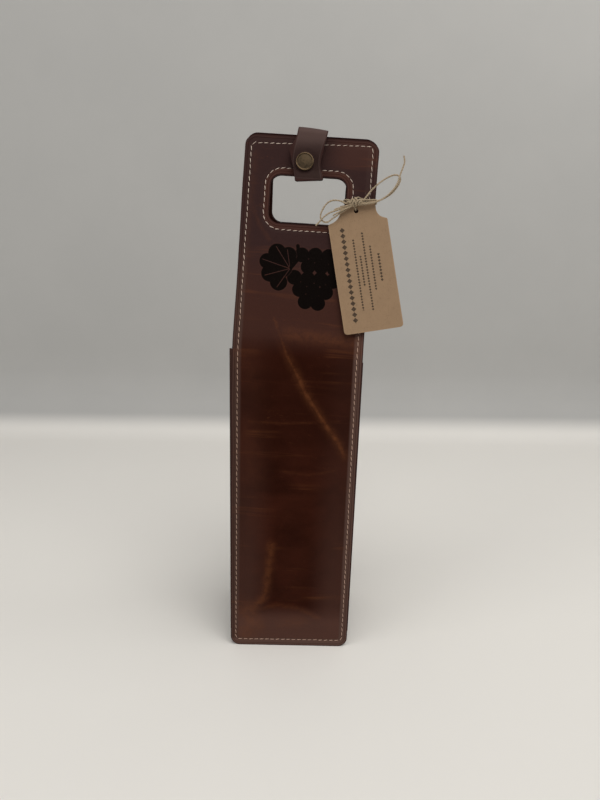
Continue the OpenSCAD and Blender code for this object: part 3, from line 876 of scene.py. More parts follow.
def jute_material():
    """Jute: two plies with painted shade in the grooves between them, and pale stray fibres."""
    look = settings("carrier_twine")
    material, tree, shader = new_material("jute_twine")
    vector = place(tree)
    fibres = use(tree, effect(fibre_effect), {"Vector": vector, "Fine": 2300.0})
    ply_groove_shade = read(tree, "ply_groove_shade", "Fac")
    uneven = remap(tree, noise(tree, vector, 300.0, 3.0, 0.6), 0.3, 0.7, 0.0, 0.45)
    tone = blend_colour(tree, uneven, look.tone, times(look.tone, 0.7))
    # Painted shade in the grooves between the plies
    tone = tint(tree, tone, look.shade, ply_groove_shade, 0.75)
    tone = tint(tree, tone, look.shade, fibres["Mask"], 0.4)
    dress(tree, shader, tone, 0.85, fibres["Height"], 0.00015, 0.7, Specular_IOR_Level=0.2, Sheen_Weight=0.1)
    return material


made_materials = {}


def material(name):
    """A material, made the first time that a piece asks for it."""
    if name not in made_materials:
        look, strap = settings("carrier_leather"), settings("carrier_strap")
        makers = {
            "front_leather": lambda: panel_leather(name, True),
            "back_leather": lambda: panel_leather(name, False),
            "lining_leather": lambda: plain_leather(name, look.lining, look.dark, 0.0008, (0.6, 0.74), 0.7),
            "gusset_leather": lambda: plain_leather(name, look.warm, look.dark, flange=look.margin_sheen_tone),
            "strap_leather": lambda: plain_leather(
                name, strap.tone, times(strap.tone, 0.72), 0.0007, (0.44, 0.56), 0.35, strap.bend_highlight_tone),
            "waxed_thread": thread_material,
            "antique_brass": brass_material,
            "kraft_card": card_material,
            "jute_twine": jute_material,
        }
        made_materials[name] = makers[name]()
    return made_materials[name]


def corner_steps(radius, count=9):
    """Heights that follow a rounded corner evenly, from the straight edge upwards."""
    return radius * (1 - np.cos(np.linspace(0, math.pi / 2, count)))


def spaced(low, high, pitch):
    return np.linspace(low, high, max(2, int(round((high - low) / pitch)) + 1))


def rows_up(low, high, corner_low, corner_high, hole, pitch):
    """Heights of the rows of a sheet, closer together at its rounded corners."""
    parts = []
    start = low
    if corner_low:
        parts.append(low + corner_steps(corner_low))
        start = low + corner_low
    if hole:
        hole_low, hole_high = hole
        parts += [spaced(start, hole_low, pitch), hole_low + corner_steps(CUTOUT_R),
                  spaced(hole_low + CUTOUT_R, hole_high - CUTOUT_R, pitch),
                  hole_high - corner_steps(CUTOUT_R)[::-1]]
        start = hole_high
    parts += [spaced(start, high - corner_high, pitch), high - corner_steps(corner_high)[::-1]]
    return np.unique(np.round(np.concatenate(parts), 7))


def rounded_half(height, low, high, corner_low, corner_high, half):
    """Half of a sheet's width at each height."""
    result = np.full_like(height, half)
    for corner, depth in ((corner_low, height - low), (corner_high, high - height)):
        if corner:
            inset = np.clip(corner - depth, 0, corner)
            result = np.minimum(result, half - corner + np.sqrt(corner ** 2 - inset ** 2))
    return result


def hole_half(height, hole_low, hole_high, ease=0.014):
    """Half of the cutout's width at each height, eased back to full width above and below it."""
    inset = np.clip(np.maximum(hole_low + CUTOUT_R - height, height - hole_high + CUTOUT_R), 0, CUTOUT_R)
    curved = CUTOUT_HALF - CUTOUT_R + np.sqrt(CUTOUT_R ** 2 - inset ** 2)
    away = np.clip(np.maximum(hole_low - height, height - hole_high), 0, None)
    return curved + (CUTOUT_HALF - curved) * smooth(away / ease)


def cut_sheet(name, half, low, high, corner_low, corner_high, hole, pitch):
    """A flat sheet of leather with rounded corners and the handle's cutout, and each vertex's flat place."""
    heights = rows_up(low, high, corner_low, corner_high, hole, pitch)
    side, middle = int(round((half - CUTOUT_HALF) / pitch)), int(round(2 * CUTOUT_HALF / pitch))
    across = np.concatenate([
        np.linspace(-half, -CUTOUT_HALF, side + 1), np.linspace(-CUTOUT_HALF, CUTOUT_HALF, middle + 1)[1:],
        np.linspace(CUTOUT_HALF, half, side + 1)[1:]])
    piece, column, row = grid(name, len(across) - 1, len(heights) - 1)
    if hole:
        cells = np.array([len(across) - 1, len(heights) - 1])
        first = np.searchsorted(heights, hole[0] - 1e-6)
        last = np.searchsorted(heights, hole[1] - 1e-6)

        def in_hole(centre):
            cell = np.floor((centre[:, :2] + 0.5) * cells)
            return ((cell[:, 0] >= side) & (cell[:, 0] < side + middle)
                    & (cell[:, 1] >= first) & (cell[:, 1] < last))

        select_faces(piece, in_hole)
        edit(piece)
        bpy.ops.mesh.delete(type="FACE")
        bpy.ops.object.mode_set(mode="OBJECT")
        co = vertices(piece)
        column = np.rint((co[:, 0] + 0.5) * cells[0]).astype(int)
        row = np.rint((co[:, 1] + 0.5) * cells[1]).astype(int)
    flat_x, flat_z = across[column], heights[row]
    outer = rounded_half(flat_z, low, high, corner_low, corner_high, half)
    inner = hole_half(flat_z, *hole) if hole else np.full_like(flat_z, CUTOUT_HALF)
    beyond = np.abs(flat_x) > CUTOUT_HALF
    share = (np.abs(flat_x) - CUTOUT_HALF) / (half - CUTOUT_HALF)
    spread = np.sign(flat_x) * (inner + share * (outer - inner))
    return piece, np.where(beyond, spread, flat_x * inner / CUTOUT_HALF), flat_z


def box_distance(x, z, middle, half_x, half_z, radius):
    """Distance from a rounded rectangle's edge, positive outside."""
    dx, dz = np.abs(x) - half_x + radius, np.abs(z - middle) - half_z + radius
    return np.hypot(np.maximum(dx, 0), np.maximum(dz, 0)) + np.minimum(np.maximum(dx, dz), 0) - radius


def edge_margin(x, z, half, low, high, corner, side):
    """Distance inwards from a sheet's nearest cut edge, the cutout's included."""
    outer = -box_distance(x, z, (low + high) / 2, half, (high - low) / 2, corner)
    hole_low, hole_high = cutout(side)
    middle = FOLD_Z + (hole_low + hole_high) / 2
    inner = box_distance(x, z, middle, CUTOUT_HALF, (hole_high - hole_low) / 2, CUTOUT_R)
    return np.clip(np.minimum(outer, inner), 0, None)


def outer_row_shift(x, z, side):
    """How far the outer row of stitches strays: its top climbs and its side flares, both to the right."""
    flare = 0.0013 * smooth((z - 0.300) / 0.08) * smooth((x - 0.02) / 0.02)
    return flare, (0.0008 + 0.0010 * x / 0.035) * smooth((z - FOLD_Z - 0.148) / 0.008)


def handle_row(side):
    """Rounded rectangle of the stitches round the handle: its middle height, half sizes and radius."""
    return (FOLD_Z + (CUTOUT_LOW + CUTOUT_HIGH) / 2 + risen(side), CUTOUT_HALF + HANDLE_SEAM_GAP,
            (CUTOUT_HIGH - CUTOUT_LOW) / 2 + HANDLE_SEAM_GAP, CUTOUT_R + HANDLE_SEAM_GAP)


def handle_row_shift(x):
    """How far the left side of the handle's row strays to the right."""
    return 0.0008 * smooth(-x / 0.02)


def from_seam(x, z, side):
    """Distance from the nearest seam of a panel."""
    right, up = outer_row_shift(x, z, side)
    middle = (TOTAL_LEN + risen(side)) / 2
    outer = box_distance(x - right, z - up, middle,
                         HALF_W - SEAM_INSET, middle - END_SEAM_INSET, SEAM_CORNER_R)
    handle = box_distance(x - handle_row_shift(x), z, *handle_row(side))
    return np.minimum(np.abs(outer), np.abs(handle))


def measured(line):
    """How far along a line each of its points is."""
    return np.concatenate([[0], np.cumsum(np.linalg.norm(np.diff(line, axis=0), axis=1))])


def places_on(line, ends, at):
    """Places on a line by their distance along it."""
    return np.stack([np.interp(at, ends, values) for values in line.T], 1)


def to_line(x, z, line):
    """Distance to a line of points, and the share of its length at the nearest place."""
    line = np.array(line, float)
    steps = np.hypot(*np.diff(line, axis=0).T)
    ends = np.concatenate([[0], np.cumsum(steps)])
    best, share = np.full(x.shape, 1e9), np.zeros(x.shape)
    for (ax, az), (bx, bz), start, step in zip(line[:-1], line[1:], ends, steps):
        t = np.clip(((x - ax) * (bx - ax) + (z - az) * (bz - az)) / step ** 2, 0, 1)
        away = np.hypot(x - ax - t * (bx - ax), z - az - t * (bz - az))
        nearer = away < best
        best, share = np.where(nearer, away, best), np.where(nearer, (start + t * step) / ends[-1], share)
    return best, share


# Marks of wear as lines on the flat panel, each with its width and strength
FRONT_CREASE = [
    (-0.0190, 0.2748), (-0.0152, 0.2652), (-0.0074, 0.2470), (0.0003, 0.2339), (0.0048, 0.2245),
    (0.0105, 0.2146), (0.0162, 0.2069), (0.0217, 0.1985), (0.0285, 0.1894), (0.0342, 0.1811),
    (0.0392, 0.1712)]
FRONT_WEAR = [
    ([(-0.0164, 0.094), (-0.0180, 0.070), (-0.0208, 0.047), (-0.0316, 0.035)], 0.0034, 0.42),
    ([(-0.030, 0.035), (-0.011, 0.0392), (0.0084, 0.0367), (0.024, 0.028)], 0.0022, 0.20),
    ([(-0.0078, 0.2641), (0.012, 0.2622), (0.0440, 0.2606)], 0.0052, 0.30),
    ([(-0.043, 0.246), (-0.034, 0.235), (-0.030, 0.218)], 0.0075, 0.05),
    ([(-0.0357, 0.1952), (-0.010, 0.1955), (0.0335, 0.1990)], 0.0009, 0.18),
    ([(-0.009, 0.1567), (0.011, 0.1545), (0.0215, 0.1566), (0.0322, 0.1595)], 0.0011, 0.14),
    ([(-0.0406, 0.356), (-0.0345, 0.343), (-0.0266, 0.3331)], 0.0014, 0.14),
    ([(-0.036, 0.012), (-0.028, 0.020), (-0.036, 0.032)], 0.0080, 0.34),
    ([(-0.004, 0.022), (0.010, 0.024)], 0.0060, 0.18),
    ([(-0.030, 0.150), (-0.033, 0.190)], 0.0090, 0.06),
    ([(-0.044, 0.300), (-0.043, 0.360), (-0.041, 0.395)], 0.0030, 0.10)]
BACK_WEAR = [
    ([(-0.030, 0.060), (-0.012, 0.072), (0.006, 0.066)], 0.0030, 0.28),
    ([(0.034, 0.238), (0.020, 0.224), (0.016, 0.200)], 0.0040, 0.26),
    ([(-0.034, 0.250), (0.0, 0.252), (0.030, 0.249)], 0.0040, 0.18),
    ([(0.036, 0.014), (0.026, 0.022), (0.034, 0.036)], 0.0070, 0.30),
    ([(-0.020, 0.330), (-0.004, 0.318), (0.014, 0.322)], 0.0030, 0.16)]
BACK_CREASE = [(0.030, 0.168), (0.014, 0.150), (-0.004, 0.141), (-0.022, 0.118)]


def waves(x, z, seed, count=7, longest=0.16, shortest=0.045):
    """Slow unevenness of a hide, between about -1 and 1."""
    draw = random.Random(seed)
    total = np.zeros(x.shape)
    for _ in range(count):
        angle, wave = draw.uniform(0, math.pi), draw.uniform(shortest, longest)
        total += math.sin(draw.uniform(0, 7)) * 0.2 + np.sin(
            (x * math.cos(angle) + z * math.sin(angle)) * 2 * math.pi / wave + draw.uniform(0, 7))
    return total / count * 1.6


def relief(x, z, side):
    """How far a panel's face stands proud of flat: its swell, sags, creases and the pulled-in seams."""
    look = settings("carrier_leather")
    margin = edge_margin(x, z, HALF_W, 0, TOTAL_LEN + risen(side), CORNER_R, side)
    in_pocket = smooth((FOLD_Z - 0.004 - z) / 0.05)
    free = smooth((margin - 0.006) / 0.024) * (0.25 + 0.75 * in_pocket)
    height = np.clip(z / FOLD_Z, 0, 1)
    swell = look.crown * (0.35 + 0.65 * np.sin(np.clip(height * 1.15, 0, 1) * math.pi) ** 2) * in_pocket
    low_swell = 0.0010 * bell(z, 0.016, 0.026) * smooth(z / 0.02)
    result = free * (swell + low_swell + 0.00075 * waves(x, z, 11 + side))
    result -= 0.0009 * bell(z, 0.006, 0.232) * smooth((margin - 0.004) / 0.012) * in_pocket
    result += 0.00022 * bell(z, 0.0026, 0.2585)
    for line, spread, depth in (BACK_WEAR if side == BACK else FRONT_WEAR):
        away, _ = to_line(x, z, line)
        result += 0.0012 * depth * bell(away, spread + 0.0012) * smooth(margin / 0.008)
    away, share = to_line(x, z, BACK_CREASE if side == BACK else FRONT_CREASE)
    ends = np.sin(np.clip(share * 0.96 + 0.02, 0, 1) * math.pi) ** 0.5
    result += 0.00042 * ends * bell(away, 0.0019) * smooth((margin - 0.003) / 0.006)
    seam = bell(from_seam(x, z, side), 0.0011)
    line_by_edge = bell(margin, 0.0008, 0.0022)
    rim = 0.00018 * smooth((0.0018 - margin) / 0.0018)
    return result - 0.00024 * seam - 0.00008 * line_by_edge - rim


def panel_base(x, z, side):
    """Outer face of a flat panel that bends over at the shoulder, and the way that it faces."""
    reach = settings("carrier_leather").fold_reach
    past = z - FOLD_Z
    bent = np.where(past < -reach, 0, np.where(past > reach, past, (past + reach) ** 2 / (4 * reach)))
    over = smooth((past + reach) / (2 * reach))
    outer = side * (HALF_MID + OUTER_FACE)
    low, high = points(x, outer, 0), upper(x, outer, 0)
    share = ((z - bent) / FOLD_Z)[..., None]
    start = on_flap(x, -OUTER_FACE, 0, side)
    place_now = (low + (high - low) * share + (start - high) * over[..., None]
                 + on_flap(x, -OUTER_FACE, bent, side) - start)
    angle = FLAP_IN * over
    return place_now, points(
        np.sin(angle) * math.sin(FLAP_LEAN), side * np.cos(angle), np.sin(angle) * math.cos(FLAP_LEAN))


def panel_face(x, z, side, lift=0.0):
    """Outer face of a panel as it lies, from its flat coordinates."""
    x, z = np.asarray(x, float), np.asarray(z, float)
    place_now, facing = panel_base(x, z, side)
    return place_now + facing * (relief(x, z, side) + lift)[..., None]


def wander(x, z, side):
    """Small sideways unevenness of hand-cut edges, and the front flap's wider margins."""
    near = smooth((np.abs(x) - HALF_W + 0.006) / 0.006)
    uneven = 0.00028 * waves(np.sign(x) * 0.05, z, 5 + side, 6, 0.12, 0.03)
    flare = np.where(x > 0, 0.0016, -0.0005) * smooth((z - 0.300) / 0.08)
    return near * (uneven + flare)


def hold(piece, side):
    """Bakes a front piece's transform into its mesh; a back piece stays with the pocket."""
    if side == BACK:
        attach(piece, "root")
        return
    middle = upper(0, -HALF_MID, 0)
    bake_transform(piece)


def make_panel(name, side, nodes, crease, wear):
    """Front or back leather in one sheet, with its marks of wear; its material has the same name."""
    look = settings("carrier_leather")
    high = TOTAL_LEN + risen(side)
    hole = [FOLD_Z + height for height in cutout(side)]
    piece, x, z = cut_sheet(name, HALF_W, 0, high, CORNER_R, CORNER_R, hole, PANEL_PITCH)
    store(piece, "flat", points(x, z, 0))
    store(piece, "margin", edge_margin(x, z, HALF_W, 0, high, CORNER_R, side))
    away, share = to_line(x, z, crease)
    strength = (0.3 + 0.7 * smooth(share / 0.5)) * smooth((1.02 - share) / 0.06)
    worn = np.zeros(x.shape)
    for line, spread, depth in wear:
        worn = np.maximum(worn, depth * bell(to_line(x, z, line)[0], spread))
    broad = 0.30 * smooth(share / 0.4) * bell(away, 0.0036)
    store(piece, "pull", points(away / (0.8 + 0.7 * share), strength * 0.8, np.maximum(worn, broad)))
    move_to(piece, panel_face(x + wander(x, z, side), z, side))
    face_outwards(piece, side)
    thicken(piece, look.thickness, look.edge_round)
    finish_piece(piece, material(name), "leather")
    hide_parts(*nodes)
    hold(piece, side)


def make_lining(name, side, node_name, body):
    """Second layer of leather behind a flap, a little smaller all round."""
    look = settings("carrier_leather")
    low, high, half, corner = 0.0019, FLAP_LEN + risen(side) - 0.001, HALF_W - 0.001, CORNER_R - 0.001
    piece, x, z = cut_sheet(name, half, low, high, 0, corner, cutout(side), LINING_PITCH)
    margin = edge_margin(x, z + FOLD_Z, half, FOLD_Z + low - 0.05, FOLD_Z + high, corner, side)
    store(piece, "margin", margin)
    slack = 0.0004 * smooth((margin - 0.004) / 0.02) * waves(x, z, 31 + side)
    move_to(piece, on_flap(x, OUTER_FACE + 0.00002, z, side))
    face_outwards(piece, side)
    modify(piece, "SOLIDIFY", thickness=look.lining_thickness, offset=-1, use_even_offset=True)
    co = vertices(piece)
    co[len(x):] += slack[:, None] * (on_flap(0, 1, 0, side) - on_flap(0, 0, 0, side))
    move_to(piece, co)
    modify(piece, "BEVEL", width=0.0003, segments=2, limit_method="ANGLE", angle_limit=math.radians(50))
    finish_piece(piece, material("lining_leather"), "lining")
    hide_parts(node_name)
    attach(piece, body)


def gusset_route(pitch):
    """The gusset's line round the pocket, down, across and up, and the way outwards, in flat coordinates."""
    half, low, radius = HALF_W - FLANGE_W, FLANGE_W, CORNER_R
    heights = spaced(FOLD_Z - 0.0006, low + radius, pitch)
    parts = [(np.array([-half, h]), (-1, 0)) for h in heights[:-1]]
    for turn in np.linspace(0, math.pi / 2, 9):
        way = (-math.cos(turn), -math.sin(turn))
        parts.append((np.array([-half + radius + way[0] * radius, low + radius + way[1] * radius]), way))
    parts += [(np.array([x, low]), (0, -1)) for x in spaced(-half + radius, half - radius, pitch)[1:-1]]
    parts += [(place_now * (-1, 1), (-way[0], way[1])) for place_now, way in parts[::-1] if way[0] < 0]
    return np.array([p for p, _ in parts]), np.array([w for _, w in parts], float)


def gusset_section(depth, bend):
    """Across the gusset: y and the distance outwards, from one flange's edge over the wall to the other's."""
    flange = [(-depth, out) for out in np.linspace(FLANGE_W, bend, 5)[:-1]]
    half = flange + [(bend - depth - bend * math.cos(turn), bend - bend * math.sin(turn))
                     for turn in np.linspace(0, math.pi / 2, 6)]
    wall = [(y, 0.0) for y in np.linspace(bend - depth, depth - bend, 40)[1:-1]]
    return np.array(half + wall + [(-y, out) for y, out in half[::-1]])


def make_gusset():
    """Both sides and the base in one strip, its edges turned out against the panels."""
    look = settings("carrier_leather")
    depth = HALF_MID - OUTER_FACE - GUSSET_T - SHEET_PLAY
    route, way = gusset_route(GUSSET_PITCH)
    section = gusset_section(depth, 0.0026)
    piece, column, row = grid("gusset_leather", len(section) - 1, len(route) - 1)
    middle, outwards = route[row], way[row]
    wall_y, out = section[column].T
    height = np.clip(middle[:, 1] / FOLD_Z, 0, 1)
    is_side = np.abs(outwards[:, 0])
    left = outwards[:, 0] < 0
    spread = 0.0004 + np.where(left, 0.0009, 0.0004) * smooth((height - 0.80) / 0.2)
    spread += np.where(left, 0.0008, 0.0) * smooth((height - 0.955) / 0.045)
    reach = out * (1 + spread * is_side / FLANGE_W)
    free = np.clip(1 - (wall_y / depth) ** 2, 0, 1)
    hollow = look.sag * free ** 1.3 * is_side * (0.35 + 0.65 * smooth(height / 0.5))
    hollow = hollow + 0.0014 * free * (1 - is_side)
    ripple = 0.0007 * free * waves(wall_y, middle[:, 1] + outwards[:, 0] * 0.4, 47)
    crease = 0.0011 * bell(wall_y, 0.0016) * is_side * smooth((height - 0.35) / 0.5)
    flat = middle + outwards * (reach - hollow + ripple - crease)[:, None]
    peak = np.where(left, 0.0045, 0.0004) * smooth((out - 0.0046) / 0.0003) * smooth((height - 0.965) / 0.035)
    bent = np.clip(flat[:, 1] + peak - FOLD_Z + look.fold_reach, 0, None) ** 2 / (4 * look.fold_reach)
    drawn_in = wall_y * (1 - bent * math.sin(FLAP_IN) / depth)
    low, high = points(flat[:, 0], drawn_in, 0), upper(flat[:, 0], drawn_in, 0)
    co = low + (high - low) * ((flat[:, 1] + peak) / FOLD_Z)[:, None]
    store(piece, "margin", FLANGE_W - out)
    move_to(piece, co)
    edit(piece)
    bpy.ops.mesh.select_all(action="SELECT")
    bpy.ops.mesh.normals_make_consistent(inside=False)
    bpy.ops.object.mode_set(mode="OBJECT")
    wall = min(piece.data.polygons, key=lambda f: (Vector(f.center) - Vector((-0.04, 0, 0.12))).length)
    if wall.normal.x > 0:
        flip_faces(piece)
    modify(piece, "SOLIDIFY", thickness=GUSSET_T, offset=-1)
    modify(piece, "BEVEL", width=0.0003, segments=2, limit_method="ANGLE", angle_limit=math.radians(60))
    finish_piece(piece, material("gusset_leather"), "leather", math.radians(55))
    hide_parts("gusset")
    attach(piece, "root")


def wrapped(name, sides, rings, shape):
    """A closed surface wrapped from a grid: shape gives each vertex's place from its turn and its ring."""
    piece, column, row = grid(name, sides, rings)
    move_to(piece, shape(column * 2 * math.pi / sides, row))
    return piece


def turned(name, profile, sides=48):
    """A turned part round Z, from points of radius and height that start and end on the axis."""
    profile = np.array(profile, float)
    return wrapped(name, sides, len(profile) - 1, lambda turn, row: points(
        profile[row, 0] * np.cos(turn), profile[row, 0] * np.sin(turn), profile[row, 1]))


def ring_path(middle, half_x, half_z, radius):
    """A rounded rectangle as a fine closed line of flat points, from the middle of its top."""
    corners = [(half_x - radius, half_z - radius, 90), (half_x - radius, radius - half_z, 0),
               (radius - half_x, radius - half_z, -90), (radius - half_x, half_z - radius, -180)]
    line = [(0.0, half_z)]
    for x, z, start in corners:
        for step in range(9):
            turn = math.radians(start - 90 * step / 8)
            line.append((x + radius * math.cos(turn), z + radius * math.sin(turn)))
    line.append((0.0, half_z))
    line = np.array(line) + (0, middle)
    ends = measured(line)
    return places_on(line, ends, np.union1d(ends, spaced(0, ends[-1], 0.002)))


def along_path(line, pitch):
    """Even places on a line, about a pitch apart, and the way that it runs there."""
    ends = measured(line)
    count = int(round(ends[-1] / pitch))
    at = (np.arange(count) + 0.5) * ends[-1] / count
    near = 0.0004
    ahead = places_on(line, ends, np.minimum(at + near, ends[-1]))
    way = ahead - places_on(line, ends, np.maximum(at - near, 0))
    return places_on(line, ends, at), way / np.hypot(*way.T)[:, None], ends[-1] / count


def one_stitch(name, thread):
    """A single stitch along X whose two ends dip into the leather."""
    rings = 8

    def shape(turn, row):
        share = row / rings * 2 - 1
        radius = thread / 2 * np.clip(1 - np.abs(share) ** 5, 0, 1) ** 0.5
        radius = np.where(np.abs(share) == 1, 0, np.maximum(radius, thread * 0.12))
        radius = radius * (1 + 0.16 * np.cos(2 * (turn - share * 2.4)))
        height = thread * (0.16 - 0.62 * np.abs(share) ** 3)
        return points(share / 2, radius * np.cos(turn), height + radius * np.sin(turn) * 0.9)

    piece = wrapped(name, 8, rings, shape)
    clean(piece, 1e-7)
    return piece


def stitch_frames(line, pitch, face, seed):
    """A matrix for each stitch along a flat line on a face."""
    draw = random.Random(seed)
    place_now, way, step = along_path(line, pitch)
    frames = []
    for (x, z), (wx, wz) in zip(place_now, way):
        slant = math.radians(draw.gauss(7, 2.5))
        wx, wz = wx * math.cos(slant) - wz * math.sin(slant), wx * math.sin(slant) + wz * math.cos(slant)
        x, z = x + draw.gauss(0, 0.00007), z + draw.gauss(0, 0.00007)
        d = 0.0003
        middle, right, up = face(np.array([x, x + d, x]), np.array([z, z, z + d]))
        across, upwards = (right - middle) / d, (up - middle) / d
        run = across * wx + upwards * wz
        run /= np.linalg.norm(run)
        facing = np.cross(across, upwards)
        facing /= np.linalg.norm(facing)
        side_way = np.cross(facing, run)
        size = step * (draw.uniform(0.74, 0.84) + 0.09 * abs(wz))
        matrix = np.eye(4)
        matrix[:3, 0], matrix[:3, 1], matrix[:3, 2], matrix[:3, 3] = run * size, side_way, facing, middle
        frames.append(Matrix(matrix.tolist()))
    return frames


def copies(model, frames, name):
    """One piece made of a copy of the model at each frame."""
    made = []
    for matrix in frames:
        copy = duplicate(model)
        copy.data.transform(matrix)
        if matrix.determinant() < 0:
            copy.data.flip_normals()
        made.append(copy)
    return joined(made, name)


def behind(side):
    """Inner face of the layers behind a panel: the gusset's flange or the flap's lining."""
    look = settings("carrier_leather")

    def face(x, z):
        depth = np.where(z < FOLD_Z, look.thickness + GUSSET_T, look.thickness + look.lining_thickness)
        base, facing = panel_base(x, z, side)
        return base - facing * depth[..., None]

    return face


def facing_out(frames, inwards):
    """Turns stitches whose up side should look the other way."""
    turned_frames = []
    for matrix in frames:
        turns = (matrix[1][2] > 0) != inwards
        turned_frames.append(matrix @ Matrix.Diagonal((1, -1, -1, 1)) if turns else matrix)
    return turned_frames


def make_seams(name, side):
    """Stitches of one panel: round the pocket, round the flap and round the handle's cutout."""
    look = settings("carrier_seams")
    model = one_stitch(name + "_stitch", look.thread)
    middle = (TOTAL_LEN + risen(side)) / 2
    outer = ring_path(middle, HALF_W - SEAM_INSET, middle - END_SEAM_INSET, SEAM_CORNER_R)
    outer = outer + np.stack(outer_row_shift(*outer.T, side), 1)
    handle = ring_path(*handle_row(side))
    handle[:, 0] += handle_row_shift(handle[:, 0])

    def face(x, z):
        return panel_face(x, z, side, 0.00012)

    for seam, line, pitch, low, high in (
            ("pocket", outer, look.pitch, 0, FOLD_Z),
            ("flap", outer, look.pitch, FOLD_Z, 1),
            ("handle", handle, look.tight_pitch, 0, 1)):
        x, z = along_path(line, pitch)[0].T
        keep = (low <= z) & (z < high)
        if side == FRONT:
            keep &= np.hypot(x - SNAP_X, z - FOLD_Z - SNAP_Z) > STITCH_FREE_R
        frames = []
        for surface, inwards, seed in (
                (face, side == BACK, 3 + side), (behind(side), side == FRONT, 9 + side)):
            every = stitch_frames(line, pitch, surface, seed)
            frames += facing_out([f for f, k in zip(every, keep) if k], inwards)
        piece = copies(model, frames, f"{name}_{seam}_stitches")
        finish_piece(piece, material("waxed_thread"), "thread", math.radians(80))
        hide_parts(f"{name}_{seam}_seam")
        hold(piece, side)
    bpy.data.objects.remove(model)


def leg(face, z, side):
    """A strap's leg on a flap, as y and z in the upper frame."""
    cos, sin = math.cos(FLAP_IN), math.sin(FLAP_IN)
    return np.array([side * (HALF_MID + face * cos - z * sin), z * cos + face * sin])


# Points on each of the strap's two bends
BEND_POINTS = 13


def strap_line():
    """Outer face of the strap seen from the side, from its riveted end over the bar to its free end."""
    look = settings("carrier_strap")
    cos, sin = math.cos(FLAP_IN), math.sin(FLAP_IN)
    ends = [leg(STRAP_BASE_FACE, STRAP_BASE_LOW, BACK)]
    for face, side in ((STRAP_BASE_FACE, BACK), (STRAP_FACE, FRONT)):
        ends.append(leg(face, (STRAP_TOP - face * sin) / cos, side))
    ends.append(leg(STRAP_FACE, STRAP_LOW, FRONT))
    line = [ends[0]]
    for (before, corner, after), bend in ((ends[0:3], look.rear_bend), (ends[1:4], look.bend)):
        to_before = (before - corner) / np.linalg.norm(before - corner)
        to_after = (after - corner) / np.linalg.norm(after - corner)
        half = math.acos(to_before @ to_after) / 2
        between = (to_before + to_after) / np.linalg.norm(to_before + to_after)
        centre = corner + between * bend / math.sin(half)
        first = corner + to_before * bend / math.tan(half) - centre
        last = corner + to_after * bend / math.tan(half) - centre
        start = math.atan2(first[1], first[0])
        sweep = math.atan2(first[0] * last[1] - first[1] * last[0], first @ last)
        line += [centre + bend * np.array([math.cos(start + sweep * t), math.sin(start + sweep * t)])
                 for t in np.linspace(0, 1, BEND_POINTS)]
    line.append(ends[3])
    return np.array(line)


# Distance from the strap's riveted end to the middle between its bends
STRAP_MIDDLE_FROM_END = 0.0316
# Sideways place of the strap's middle, by the height on its flap
STRAP_BOW_BACK = [(0.1436, -0.0028), (0.153, -0.0026), (0.168, -0.0006)]
STRAP_BOW_FRONT = [
    (0.168, 0.0008), (0.160, -0.0006), (0.1535, -0.0024), (0.146, -0.0034), (0.139, -0.0026),
    (0.1302, -0.0004)]


